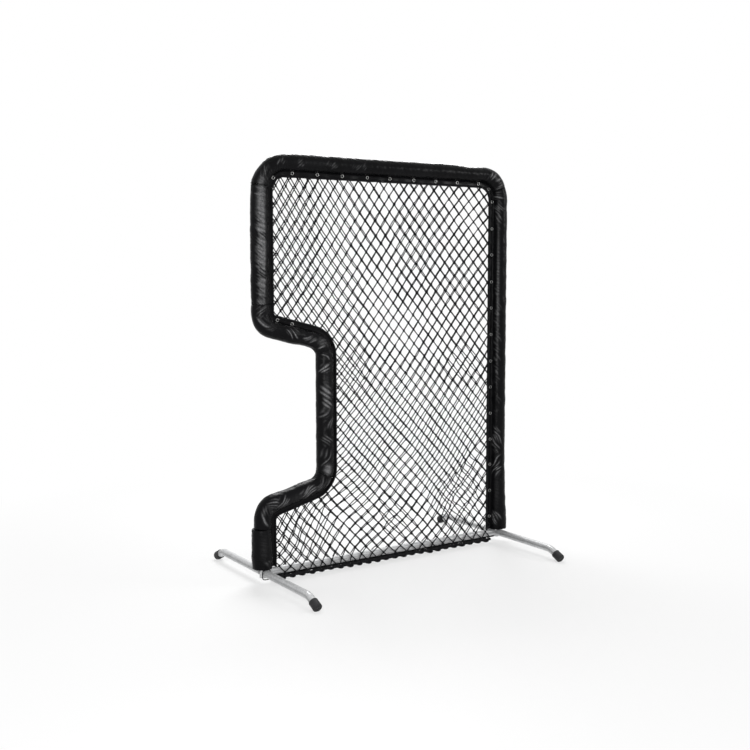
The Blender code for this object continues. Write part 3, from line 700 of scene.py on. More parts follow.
def pad_points(first, last, bodies, settings, seed, per_metre, crowded, ribbed, swollen, painted_sheen):
    """A cover as a grid: rows along the frame, columns round the section, creased along its normals.

    The body is drawn in at the ends, and closes there onto the tube. Inside each bend the vinyl bunches
    in ridges across the pad, and outside it is stretched flat.
    """
    s, scale = end_rows(first, last, PAD_ROW)
    end = np.minimum(s - first, last - s)
    radius, shift = body_at(s, last, bodies, settings.flare_run)
    radius = radius - settings.draw_in * np.exp(-end / DRAW_IN_RUN) + 0.0008 * waves(seed, 5, 0.06, 0.22, s)
    a, b, soft, angle = pad_section(radius, shift, settings)
    grid_s = np.broadcast_to(s[:, None], a.shape)
    arc = angle * settings.radius
    folds = fold_list(seed, first, last, per_metre, settings.crease, crowded)
    ridges, painted_light = ribs(grid_s, angle, settings.radius, ribbed)
    lift = creases(grid_s, angle, settings.radius, folds) + ridges
    # Painted sheen: broad bands of painted highlight, broken by slanting streaks, added to the painted
    # highlight on the crests.
    streaks = 0.72 + 0.28 * np.clip(waves(seed + 6, 8, 0.010, 0.030, grid_s + 0.35 * arc), -1, 1)
    painted_light = np.clip(painted_light + 0.85 * smooth(1.6 * swells(grid_s, angle, painted_sheen)) * streaks, 0, 1)
    lift += 0.0004 * waves(seed + 1, 9, 0.02, 0.07, grid_s, arc)
    puckers = np.cos(17 * angle + 3 * np.sin(2 * angle + seed)) + 0.6 * np.cos(11 * angle + seed)
    lift += PUCKER_HEIGHT * puckers * np.exp(-end / PUCKER_RUN)[:, None]
    turn = route_bend(s)
    inner = np.where(turn > 0, np.pi, 0.0)
    inside = np.clip(np.cos(angle - inner[:, None]) + 0.25, 0, None) / 1.25
    wander = 1.6 * np.sin(3 * angle + seed) + waves(seed + 2, 4, 0.03, 0.09, grid_s)
    gather = np.abs(np.sin(grid_s * math.pi / GATHER_PITCH + wander))
    lift += smooth(np.abs(turn) / FULL_BEND)[:, None] * inside * (GATHER_HEIGHT * (gather - 0.55))
    lift = np.clip(lift, *FOLD_LIMITS) + swells(grid_s, angle, swollen)
    flutter = 0.0012 * waves(seed + 3, 5, 0.05, 0.20, s)[:, None] * (1 - soft)
    a, b = a * scale[:, None], b * scale[:, None]
    points = beside_route(grid_s, a, b + flutter)
    along, round_it = np.gradient(points, axis=0), np.roll(points, -1, 1) - np.roll(points, 1, 1)
    normal = np.cross(round_it, along)
    normal /= np.linalg.norm(normal, axis=2, keepdims=True) + 1e-12
    outward = (normal * (points - beside_route(grid_s, 0, 0))).sum(2, keepdims=True)
    normal *= np.sign(outward.mean())
    # Also returned: the share of painted highlight at each point, fading over the neck and none on the
    # leaves.
    return points + normal * (lift * soft * (scale > 0.95)[:, None])[..., None], s, angle, painted_light * soft


FOAM_END = 0.003  # from a cover's end to its foam's
FOAM_ROW = 0.012  # from one row of the foam's points to the next


def foam_points(first, last, bodies, settings, swollen, columns=28):
    """The foam inside a cover: an outer and an inner round, joined at both ends into one closed sleeve."""
    s = np.linspace(first + FOAM_END, last - FOAM_END, int((last - first) / FOAM_ROW) + 4)[:, None]
    radius, shift = body_at(s, last, bodies, settings.flare_run)
    angle = around(columns)
    radius = radius - settings.draw_in - settings.foam_wall + np.minimum(swells(s, angle + 0 * s, swollen), 0)
    outer = beside_route(s, radius * np.cos(angle) - shift, radius * np.sin(angle))
    bore = TUBE_RADIUS + SEAT_GAP
    inner = beside_route(s, bore * np.cos(angle), bore * np.sin(angle))
    return np.concatenate([outer, inner[::-1]])


SEAM_GAP = 0.0001  # from a seam between two pads to each one's end
SEAM_RUN = 0.110  # from the notch's corners on the left post to the seams below and above them


def seam_places(settings):
    """Where the pads meet along the frame, from the left foot round to the right foot."""
    foot = settings.end_height - POST_FOOT
    notch_arc, top_arc = MARKS[4] - MARKS[3], MARKS[10] - MARKS[9]
    return [
        foot,
        NOTCH_CORNERS[0][1] - SEAM_RUN - POST_FOOT,
        MARKS[4] - 0.3 * notch_arc,
        MARKS[5] + 0.3 * notch_arc,
        MARKS[9] - (TOP_AXIS - NOTCH_CORNERS[3][1] - SEAM_RUN - TOP_BEND),
        MARKS[9] + 0.1 * top_arc,
        MARKS[12] - 0.3 * top_arc,
        MARKS[13] - foot,
    ]


FACING = -1.85  # the angle round a pad that faces the camera


def pad_table(settings, seams):
    """For each pad its name, its body at both ends, its folds in each metre, and the places of other forms.

    These are its crowded folds in fold_list's form, its rows of folds in that of ribs, where it is swollen
    or drawn tight in that of swells, and where a painted sheen lightens it, also in that of swells.
    """
    slim, stout = (settings.radius, 0.0), (settings.foot_radius, settings.foot_shift)
    left_low, left_high = (0.057, 0.001), (0.049, 0.009)
    bends = [(start + end) / 2 for start, end in zip(MARKS[1::2], MARKS[2::2])]
    foot, arm, notch, upper, post, rail, right = (partial(run_place, run) for run in range(7))
    return [
        (
            "lower_left_post", (left_low, left_high), 30, (),
            ((seams[0] + 0.02, -1.6, 0.030, 0.020, 0.026, 0.9, 0.0016, 0.3),),
            (),
            ((foot(z=0.19), -1.9, 0.09, 0.45, 0.12),),
        ),
        (
            "lower_arm", (slim, slim), 40, ((bends[0], 0.05, 8),),
            (
                (bends[0] - 0.03, FACING, 0.050, 0.036, 0.022, 1.1, 0.0026, 0.3),
                (bends[0] + 0.03, -1.5, 0.035, 0.030, 0.018, -1.0, 0.0022, 0.3),
                (bends[0] + 0.08, -1.5, 0.045, 0.030, 0.026, 1.6, 0.0030, 0.35),
                (arm(x=-0.52), -1.5, 0.050, 0.030, 0.030, 2.2, 0.0032, 0.35),
                (bends[1] - 0.03, -1.4, 0.045, 0.035, 0.028, 2.4, 0.0040, 0.3),
            ),
            ((MARKS[3] - 0.02, math.pi, 0.08, 1.1, -0.007), (arm(x=-0.60), math.pi, 0.08, 1.0, -0.006)),
            ((arm(x=-0.55), -1.4, 0.10, 0.5, 0.12),),
        ),
        (
            "notch_post", (slim, slim), 30, (),
            (
                (seams[2] + 0.03, FACING, 0.026, 0.040, 0.011, 0.2, 0.0012, 0.1),
                (notch(z=0.60), FACING, 0.060, 0.034, 0.034, -1.5, 0.0030, 0.35),
                (notch(z=0.70), FACING, 0.040, 0.030, 0.022, 0.9, 0.0018, 0.35),
                (notch(z=0.82), FACING, 0.060, 0.034, 0.026, -0.9, 0.0014, 0.35),
                (notch(z=0.93), FACING - 0.05, 0.080, 0.036, 0.025, 0.68, 0.0030, 0.04),
                (notch(z=1.07), FACING, 0.026, 0.034, 0.020, -0.6, 0.0030, 0.35),
                (notch(z=1.13), FACING, 0.022, 0.030, 0.018, 0.8, 0.0024, 0.35),
            ),
            (),
            ((seams[2] + 0.03, -1.7, 0.028, 0.45, 0.62), (notch(z=0.95), -1.8, 0.12, 0.35, 0.20)),
        ),
        (
            "upper_arm", (slim, slim), 40, ((bends[2], 0.03, 6), (bends[3], 0.05, 6)),
            (
                (bends[2] + 0.025, -1.6, 0.030, 0.036, 0.015, 0.5, 0.0026, 0.3),
                (upper(x=-0.50), -1.5, 0.040, 0.026, 0.024, 1.8, 0.0024, 0.35),
                (upper(x=-0.60), -1.5, 0.040, 0.026, 0.022, -1.4, 0.0026, 0.35),
                (bends[3], FACING, 0.045, 0.030, 0.020, 1.3, 0.0024, 0.3),
                (bends[3] + 0.07, FACING, 0.030, 0.034, 0.016, -0.8, 0.0026, 0.3),
            ),
            ((MARKS[6] + 0.05, math.pi, 0.06, 1.0, -0.005),),
            ((bends[2] + 0.03, -1.6, 0.03, 0.4, 0.25),),
        ),
        (
            "upper_left_post", (slim, slim), 25, (),
            (
                (post(z=1.40), FACING, 0.030, 0.040, 0.015, 1.1, 0.0024, 0.3),
                (post(z=1.728), FACING, 0.026, 0.090, 0.015, 0.8, -0.0050, 0.05),
                (post(z=1.555), FACING, 0.034, 0.090, 0.015, 0.65, -0.0050, 0.05),
                (post(z=1.66), -2.25, 0.270, 0.026, 0.018, 0.8, -0.0024, 0.1),
                (post(z=1.46), FACING, 0.040, 0.060, 0.017, 0.7, -0.0026, 0.1),
                (seams[5] - 0.03, FACING, 0.024, 0.030, 0.014, 0.6, 0.0022, 0.35),
            ),
            ((seams[5], math.pi, 0.12, 1.3, -0.0055),),
            (
                (post(z=1.68), -1.90, 0.29, 0.48, 0.66),
                (post(z=1.90), -1.75, 0.08, 0.35, 0.20),
                (post(z=1.66), -1.55, 0.24, 0.16, 0.45),
            ),
        ),
        (
            "top_rail", (slim, slim), 4, ((bends[4], 0.04, 6),),
            (
                (bends[4] - 0.03, -1.9, 0.040, 0.026, 0.016, 1.2, 0.0020, 0.4),
                (bends[4] + 0.07, -1.6, 0.030, 0.020, 0.014, 0.9, 0.0016, 0.35),
                (rail(x=-0.54), -1.5, 0.028, 0.020, 0.014, 0.9, 0.0018, 0.2),
                (rail(x=-0.37), -1.5, 0.036, 0.020, 0.013, 0.9, 0.0016, 0.2),
                (rail(x=-0.20), -1.5, 0.050, 0.018, 0.014, 0.9, 0.0008, 0.2),
                (bends[5] - 0.02, -1.3, 0.060, 0.040, 0.020, 0.3, 0.0030, 0.35),
            ),
            (
                (bends[4], math.pi, 0.12, 1.3, -0.009),
                (MARKS[11] - 0.07, math.pi, 0.08, 1.0, -0.011),
                (bends[5], math.pi, 0.05, 1.0, 0.006),
            ),
            ((rail(x=-0.45), -1.55, 0.16, 0.35, 0.08), (seams[5] + 0.015, -1.85, 0.025, 0.40, 0.45)),
        ),
        (
            "right_post", (slim, stout), 14, ((seams[6] + 0.06, 0.04, 8),),
            (
                (seams[6] + 0.030, -0.9, 0.028, 0.036, 0.015, 0.3, 0.0030, 0.3),
                (right(z=1.87), -0.8, 0.080, 0.026, 0.018, 1.0, 0.0022, 0.35),
                (right(z=1.15), -0.8, 0.420, 0.020, 0.023, 0.9, 0.0009, 0.2),
                (right(z=0.60), -0.75, 0.080, 0.028, 0.021, 1.2, 0.0026, 0.35),
                (right(z=0.46), -0.8, 0.080, 0.032, 0.021, -1.2, 0.0028, 0.4),
                (right(z=0.15), -0.9, 0.045, 0.028, 0.020, 1.2, 0.0026, 0.35),
            ),
            ((right(z=0.12), math.pi, 0.07, 1.0, 0.006),),
            ((right(z=1.45), -0.85, 0.42, 0.20, 0.30), (right(z=0.30), -0.95, 0.12, 0.35, 0.12)),
        ),
    ]


FIRST_PAD_SEED = 31


class SCREEN_OT_pads(bpy.types.Operator):
    """Build the seven vinyl-covered pads"""

    bl_idname = "screen.build_pads"
    bl_label = "Pads"

    def execute(self, context):
        settings = context.scene.screen_pads
        seams = seam_places(settings)
        table = pad_table(settings, seams)
        for index, (name, bodies, *forms, swollen, painted_sheen) in enumerate(table):
            first = seams[index] + (SEAM_GAP if index else 0)
            last = seams[index + 1] - (SEAM_GAP if index + 1 < len(table) else 0)
            points, s, angle, painted_light = pad_points(
                first, last, bodies, settings, FIRST_PAD_SEED + index, *forms, swollen, painted_sheen
            )
            cover = make_piece(
                name + "_pad", points, grid_quads(*points.shape[:2]), "black_vinyl",
                uv=np.stack(np.broadcast_arrays(s[:, None], angle * settings.radius), -1),
                painted_light=painted_light, nodes=[name + "_cover"],
            )
            points = foam_points(first, last, bodies, settings, swollen)
            quads = grid_quads(*points.shape[:2], wrap_rows=True)
            foam = make_piece(name + "_filling", points, quads, "grey_foam", nodes=[name + "_foam"])
        return {"FINISHED"}


# Grommets and the cord through them

FACE_GAP = 0.0012  # from a leaf of the flange to the eyelets' roll and to the cord
CROSSING = 0.0025  # half the length over which the cord goes through a grommet
CORD_END = 0.012  # from the last grommet to the cord's end


def grommet_runs():
    """Lengths along the frame of the grommets, for each run of the cord: the upper arm, and rail with post.

    They stand about 150 mm apart. The other flanges show none.
    """
    top = [-0.5706, -0.428, -0.2815, -0.130, 0.0105, 0.164, 0.309, 0.455, 0.602]
    right = [1.945, 1.795, 1.650, 1.4985, 1.352, 1.202, 1.051, 0.902, 0.752, 0.602, 0.4565, 0.3045, 0.154]
    rail = [(MARKS[9] + MARKS[10]) / 2]
    rail += [MARKS[10] + x + HALF_WIDTH - TOP_BEND for x in top]
    rail += [(MARKS[11] + MARKS[12]) / 2]
    rail += [MARKS[12] + TOP_AXIS - TOP_BEND - z for z in right]
    arm = [MARKS[6] + share * (MARKS[7] - MARKS[6]) for share in (0.58, 0.93)]
    return np.array(arm), np.array(rail)


class SCREEN_OT_grommets(bpy.types.Operator):
    """Build the metal grommets in the lacing flanges"""

    bl_idname = "screen.build_grommets"
    bl_label = "Grommets"

    def execute(self, context):
        cords = context.scene.screen_cords
        face = context.scene.screen_pads.leaf + FACE_GAP
        # Half of the eyelet's section as (radius, depth): a roll on each face and a barrel between.
        turn = np.linspace(0, np.pi, 7)
        middle, half = (cords.eyelet + cords.eyelet_hole) / 2, (cords.eyelet - cords.eyelet_hole) / 2
        front = np.stack([middle + half * np.cos(turn), -face - half * np.sin(turn)], 1)
        radius, depth = np.concatenate([front, (front * [1, -1])[::-1]]).T[..., None]
        angles = around(20)
        ring = np.stack(np.broadcast_arrays(radius * np.cos(angles), depth, radius * np.sin(angles)), -1)
        places = np.concatenate(grommet_runs())
        points = beside_route(places, cords.eyelet_line, 0.0)[:, None, None] + ring
        quads = grid_quads(*ring.shape[:2], wrap_rows=True)[:, ::-1]
        quads = repeat_faces(quads, len(places), ring.size // 3)
        make_piece("grommets", points, quads, "grommet_metal", "galvanised_steel")
        return {"FINISHED"}


class SCREEN_OT_stitches(bpy.types.Operator):
    """Build the cord that runs in and out through the grommets"""

    bl_idname = "screen.build_stitches"
    bl_label = "Flange lacing"

    def execute(self, context):
        cords, pads = context.scene.screen_cords, context.scene.screen_pads
        for name, places in zip(("arm_lacing_cord", "flange_lacing_cord"), grommet_runs()):
            s = np.linspace(places[0] - CORD_END, places[-1] + CORD_END, 90 * len(places))
            # The cord changes face at each grommet, as a square wave with slanting steps.
            crossings = np.clip((s[:, None] - places) / CROSSING, -1, 1).sum(1) + len(places)
            depth = (pads.leaf + FACE_GAP + cords.stitch) * np.cos(np.pi * crossings / 2)
            between = np.abs((s[:, None] - places)).min(1)
            sway = 0.0022 * waves(5, 5, 0.08, 0.3, s) * smooth(between / 0.03)
            path = beside_route(s, cords.eyelet_line + sway, depth)
            _, _, heading = on_route(s)
            reference = np.stack([np.sin(heading), np.zeros_like(s), -np.cos(heading)], 1)
            make_cord(name, swept_rings(path, cords.stitch, 8, reference), s, "thin_cord")
        return {"FINISHED"}


# The net

def net_border(settings, spacing=0.012):
    """The closed line that the net fills: beside the frame at the flanges' edge, and level along the hem."""
    pads = bpy.context.scene.screen_pads
    last = MARKS[-1] + POST_FOOT - settings.hem
    s = np.arange(MARKS[0] + settings.hem - POST_FOOT, last + spacing, spacing)
    line = beside_route(np.clip(s, 0, MARKS[-1]), pads.reach - 0.001, 0.0)[:, [0, 2]]
    line[0, 1] = line[-1, 1] = settings.hem
    return line


def border_distance(places, line):
    """The signed distance of places to the closed line, positive inside.

    The distance is the least to any of its straight pieces. A place is inside where a level ray from
    it crosses the line an odd number of times.
    """
    start, end = line, np.roll(line, -1, 0)
    step = end - start
    places = np.asarray(places, float)
    offset = places[:, None] - start
    share = np.clip((offset * step).sum(2) / (step * step).sum(1), 0, 1)
    distance = np.linalg.norm(offset - step * share[..., None], axis=2).min(1)
    over = (start[:, 1] > places[:, None, 1]) != (end[:, 1] > places[:, None, 1])
    with np.errstate(divide="ignore", invalid="ignore"):
        crossing = start[:, 0] + step[:, 0] * (places[:, None, 1] - start[:, 1]) / step[:, 1]
    inside = ((over & (places[:, None, 0] < crossing)).sum(1) % 2).astype(bool)
    return np.where(inside, distance, -distance)


# Folds of the slack net near the ground: middle (x, z), lean, half length, half width, and the depths in
# the front and the back layer
NET_FOLDS = (
    (0.52, 0.44, 0.97, 0.30, 0.035, 0.034, 0.010),
    (0.45, 0.34, 0.97, 0.24, 0.028, -0.026, 0.010),
    (0.40, 0.20, 0.90, 0.18, 0.030, 0.022, -0.014),
    (0.60, 0.30, 1.30, 0.16, 0.030, 0.016, -0.016),
    (-0.52, 0.26, 1.75, 0.18, 0.040, 0.006, 0.024),
    (-0.60, 0.20, 1.55, 0.14, 0.030, -0.006, 0.018),
    (-0.46, 0.20, 1.40, 0.16, 0.028, 0.004, -0.022),
    (-0.36, 0.36, 2.20, 0.18, 0.040, 0.008, 0.018),
    (0.00, 0.20, 2.10, 0.20, 0.045, 0.020, -0.010),
    (0.20, 0.42, 2.00, 0.30, 0.060, -0.012, -0.012),
)


def net_folds(x, z, side):
    """A layer's folds, summed: depth * exp(-(across / half width)^2 - (along / half length)^2).

    Each bends, because a quarter of along^2 / half length is added to across.
    """
    total = np.zeros(np.shape(x))
    for at_x, at_z, lean, half_length, half_width, *depths in NET_FOLDS:
        along = (x - at_x) * math.cos(lean) + (z - at_z) * math.sin(lean)
        across = (z - at_z) * math.cos(lean) - (x - at_x) * math.sin(lean)
        across = across + 0.25 * along**2 / half_length
        total += depths[side > 0] * np.exp(-((across / half_width) ** 2) - (along / half_length) ** 2)
    return total


# The net's lattice in the screen's plane, for a tens of columns to the right of the middle and b tens of
# rows down: powers of a and of b, and the shares of their product in x and z. The shares come from a
# least-squares fit to the lines of the photographed net.
LATTICE = (
    (0, 0, 0.0787, 1.0503),
    (0, 1, 0.0341, -0.7570),
    (0, 2, -0.0078, 0.0273),
    (0, 3, -0.0065, 0.0045),
    (1, 0, 0.6384, 0.0430),
    (1, 1, 0.0296, -0.0266),
    (1, 2, 0.0248, -0.0422),
    (2, 0, 0.0038, 0.0103),
    (2, 1, -0.0299, 0.0268),
    (3, 0, -0.0023, -0.0201),
)


def lattice_place(half_columns, half_rows):
    """The place (x, z) of points of the lattice, as the table's sum of products of powers."""
    a, b = half_columns / 20, half_rows / 20
    return tuple(sum(row[2 + axis] * a ** row[0] * b ** row[1] for row in LATTICE) for axis in (0, 1))


NET_PIVOT = (-3.11, 1.56)  # the point (x, z) about which the layers are scaled


def patch(x, z, at_x, at_z, width, height):
    """A soft spot of the net: exp(-(dx / width)^2 - (dz / height)^2)."""
    return np.exp(-(((x - at_x) / width) ** 2) - ((z - at_z) / height) ** 2)


def net_lattice(settings, side, seed):
    """Where the lattice's points lie in the screen's plane, half a diamond apart both ways.

    The knots slide along the falling lines in the lower left corner, so that the rising lines stand steep
    there. The layers' lattices lie apart by shares of a diamond: along the falling lines by one that grows
    as the back layer sags towards the ground, and along both families of lines in the regions of a table.
    Each layer is then scaled about NET_PIVOT, so that seen from there they cover each other.
    """
    line = net_border(settings)
    j, i = np.meshgrid(np.arange(-32, 38), np.arange(-30, 31), indexing="ij")
    knotted = (i + j) % 2 == 0
    slide = 4.9 * smooth((-16.4 - (i - j) / 2) / 11.2)
    i, j = i + slide, j + slide
    x, z = lattice_place(i, j)
    falling = 0.95 * smooth((1.40 - z) / 1.35)
    rising = np.zeros(x.shape)
    for region, along_falling, along_rising in (
        (smooth((-0.30 - x) / 0.3) * smooth((z - 1.30) / 0.2), 0.20, 0.0),
        (smooth((0.05 - x) / 0.5) * smooth((z - 0.85) / 0.4), 0.0, 0.32),
        (smooth((x + 0.10) / 0.3) * smooth((z - 1.20) / 0.3), 0.10, 0.10),
        (smooth((-0.22 - x) / 0.30) * smooth((0.62 - z) / 0.25), 0.60, -0.20),
        (patch(x, z, 0.47, 0.30, 0.13, 0.18), -0.30, 0.62),
        (patch(x, z, 0.05, 0.22, 0.10, 0.12), 0.15, 0.40),
        (patch(x, z, -0.25, 1.03, 0.10, 0.12), 0.25, 0.35),
        (patch(x, z, 0.50, 1.03, 0.14, 0.10), -0.15, 0.40),
        (patch(x, z, 0.15, 1.76, 0.22, 0.16), 0.12, 0.0),
    ):
        falling, rising = falling + along_falling * region, rising + along_rising * region
    x, z = lattice_place(i + side * (falling + rising) / 2, j + side * (falling - rising) / 2)
    gap = border_distance(np.stack([x, z], -1).reshape(-1, 2), line).reshape(x.shape)
    share = 1 + side * swelling(gap, settings) / settings.spread_from
    x, z = NET_PIVOT[0] + share * (x - NET_PIVOT[0]), NET_PIVOT[1] + share * (z - NET_PIVOT[1])
    x = x + settings.slack * waves(seed + 1, 6, 0.10, 0.3, x, z)
    z = z + settings.slack * waves(seed + 2, 6, 0.10, 0.3, x, z)
    return line, np.stack([x, z], -1), knotted


LAYER_START = 0.0022  # how far a layer stands from the screen's plane at the border
SWELL_RUN = 0.05  # the length over which it swells away from there
FREE_RUN = 0.10  # so far inside the border a layer moves freely


def swelling(distance, settings):
    """How far a layer stands off, inside the border: start + bulge * (1 - exp(-distance / run))."""
    return LAYER_START + settings.bulge * (1 - np.exp(-np.clip(distance, 0, None) / SWELL_RUN))


def net_surface(places, distance, settings, side, seed):
    """How far a layer stands from the screen's plane at each place, at a distance inside the border.

    It leaves the flange close to its leaves, swells at once, is pushed out round the rail, and hangs in
    soft folds that grow towards the ground.
    """
    x, z = places[..., 0], places[..., 1]
    free = smooth(np.clip(distance, 0, None) / FREE_RUN)
    low = smooth((1.5 - z) / 1.3)
    depth = swelling(distance, settings)
    depth = depth + waves(seed + 4, 6, 0.25, 0.7, x, 0.45 * z) * (0.002 + 0.004 * low) * free
    shared = (net_folds(x, z, side) + waves(6, 6, 0.2, 0.6, x, 0.6 * z) * 0.011 * low) * free
    depth = np.maximum(depth, LAYER_START + 0.007 * free) + side * shared
    pushed = smooth(1 - (z - 0.080) / 0.14)
    return side * (depth + (settings.spread - depth) * pushed)


def net_layer(settings, side, seed):
    """A layer's strands, each as a row of four points, and its knots.

    A strand joins two neighbours on the lattice. One that leaves the border is cut where it crosses it,
    found by halving twelve times.
    """
    line, lattice, knotted = net_lattice(settings, side, seed)
    ends = []
    for lean in (1, -1):
        rows, columns = np.nonzero(knotted[:-1])
        there = columns + lean
        kept = (there >= 0) & (there < lattice.shape[1])
        rows, columns, there = rows[kept], columns[kept], there[kept]
        ends.append(np.stack([lattice[rows, columns], lattice[rows + 1, there]], 1))
    start, end = np.concatenate(ends).transpose(1, 0, 2)
    inside_start, inside_end = border_distance(start, line) > 1e-6, border_distance(end, line) > 1e-6
    swap = inside_end & ~inside_start
    start[swap], end[swap] = end[swap], start[swap].copy()
    inside = inside_start | inside_end
    start, end, both = start[inside], end[inside], (inside_start & inside_end)[inside]
    near, far = start.copy(), end.copy()
    for _ in range(12):
        middle = (near + far) / 2
        within = border_distance(middle, line)[:, None] > 0
        near, far = np.where(within, middle, near), np.where(within, far, middle)
    end = np.where(both[:, None], end, near)
    long_enough = np.linalg.norm(end - start, axis=1) > 0.004
    start, end = start[long_enough], end[long_enough]
    shares = np.linspace(0, 1, 4)
    flat = start[:, None] + (end - start)[:, None] * shares[:, None]
    gap = border_distance(flat.reshape(-1, 2), line).reshape(flat.shape[:2])
    depth = net_surface(flat, gap, settings, side, seed)
    path = np.stack([flat[..., 0], depth, flat[..., 1]], -1)
    rng = np.random.default_rng(seed + 9)
    bow = rng.normal(0, 0.0010, (len(path), 1, 3)) - [0, 0, 0.0006]
    path = path + bow * np.sin(np.pi * shares)[:, None]
    places = lattice[knotted]
    gap = border_distance(places, line)
    places, gap = places[gap > 0.003], gap[gap > 0.003]
    centres = np.stack([places[:, 0], net_surface(places, gap, settings, side, seed), places[:, 1]], 1)
    return path, centres


def knot_ball():
    """The points and the triangles of a coarse ball of radius 1.

    The triangles come in an order of their own each time, so they are turned and sorted by their points.
    """
    template = bmesh.new()
    bmesh.ops.create_uvsphere(template, u_segments=7, v_segments=5, radius=1)
    bmesh.ops.triangulate(template, faces=template.faces)
    ball = np.array([vertex.co for vertex in template.verts])
    faces = np.array([[vertex.index for vertex in face.verts] for face in template.faces])
    template.free()
    faces = np.take_along_axis(faces, (faces.argmin(1)[:, None] + np.arange(3)) % 3, 1)
    return ball, faces[np.lexsort(faces.T[::-1])]


def net_knots(settings, ball, centres, seed):
    """A lump at each centre: the ball times 1 + 0.16 sin(3 turn + 2 y), flattened and turned about Y."""
    rng = np.random.default_rng(seed)
    size = settings.knot * rng.uniform(0.85, 1.15, (len(centres), 1, 1)) * np.array([1.0, 0.72, 1.25])
    turn = rng.uniform(-0.5, 0.5, len(centres))[:, None]
    lumps = ball * (1 + 0.16 * np.sin(3 * np.arctan2(ball[:, 2], ball[:, 0]) + 2 * ball[:, 1]))[:, None]
    x, y, z = np.moveaxis(lumps * size, -1, 0)
    lumps = np.stack([x * np.cos(turn) - z * np.sin(turn), y, x * np.sin(turn) + z * np.cos(turn)], -1)
    return lumps + centres[:, None]


class SCREEN_OT_nets(bpy.types.Operator):
    """Build the two layers of knotted net, each with its border cord along the pads' flanges"""

    bl_idname = "screen.build_nets"
    bl_label = "Net layers"

    def add_border(self, settings, name, side):
        leaf, reach = bpy.context.scene.screen_pads.leaf, bpy.context.scene.screen_pads.reach
        radius = settings.border
        s = np.linspace(0, MARKS[-1], 2600)
        wander = 0.0006 * waves(60 + side, 6, 0.03, 0.15, s)
        # Round the notch the cords lie on the flange's faces, and elsewhere along its edge.
        share = smooth((s - MARKS[3]) / 0.05) * smooth((MARKS[6] - s) / 0.05)
        towards_net = reach + (0.85 - 1.2 * share) * radius + wander
        path = beside_route(s, towards_net, side * (1.06 * radius + leaf * share))
        make_cord(name, swept_rings(path, laid_radius(radius, s, 10, 0.014), 10, ACROSS), s, "lacing_rope")

    def execute(self, context):
        settings = context.scene.screen_net
        sides = 6
        ball, ball_faces = knot_ball()
        ball_uv = np.stack([ball[:, 2] * 0.008, np.arctan2(ball[:, 1], ball[:, 0]) / (2 * np.pi)], 1)
        for name, side, seed in (("front_net", -1, 11), ("back_net", 1, 47)):
            paths, centres = net_layer(settings, side, seed)
            rings = swept_rings(paths, settings.twine, sides, ACROSS).reshape(-1, 3)
            count, rows = paths.shape[:2]
            steps = np.linalg.norm(np.diff(paths, axis=1), axis=2)
            along = np.concatenate([np.zeros((count, 1)), steps.cumsum(1)], 1)
            lumps = net_knots(settings, ball, centres, seed).reshape(-1, 3)
            uv = np.concatenate([cord_lay(along, sides).reshape(-1, 2), np.tile(ball_uv, (len(centres), 1))])
            make_piece(
                name + "_mesh", np.concatenate([rings, lumps]),
                repeat_faces(grid_quads(rows, sides), count, rows * sides), "net_twine", "black_twine",
                triangles=repeat_faces(ball_faces, len(centres), len(ball), len(rings)), uv=uv, nodes=[name],
            )
            self.add_border(settings, name + "_border", side)
        return {"FINISHED"}


# The ropes under the rail

def laid_radius(radius, s, sides, lay, strands=3):
    """A laid rope's radius round its section: strands that bulge as |cos| and wind once in each lay."""
    turn = around(sides) - 2 * np.pi * s[:, None] / lay
    return radius * (0.84 + 0.16 * np.abs(np.cos(strands * turn / 2)))


def squared_circle(turn, power):
    """The cosine and the sine, each raised to a power under 1 with its sign kept: a rounded square."""
    return tuple(np.sign(part) * np.abs(part) ** power for part in (np.cos(turn), np.sin(turn)))


LACING_INSET = 0.066  # from the posts' axes to the first and the last loop
LOOP_DEPTH, LOOP_HEIGHT = 0.0288, 0.0095  # half a loop's size
LOOP_MIDDLE = 0.0237  # height of the loops' middle


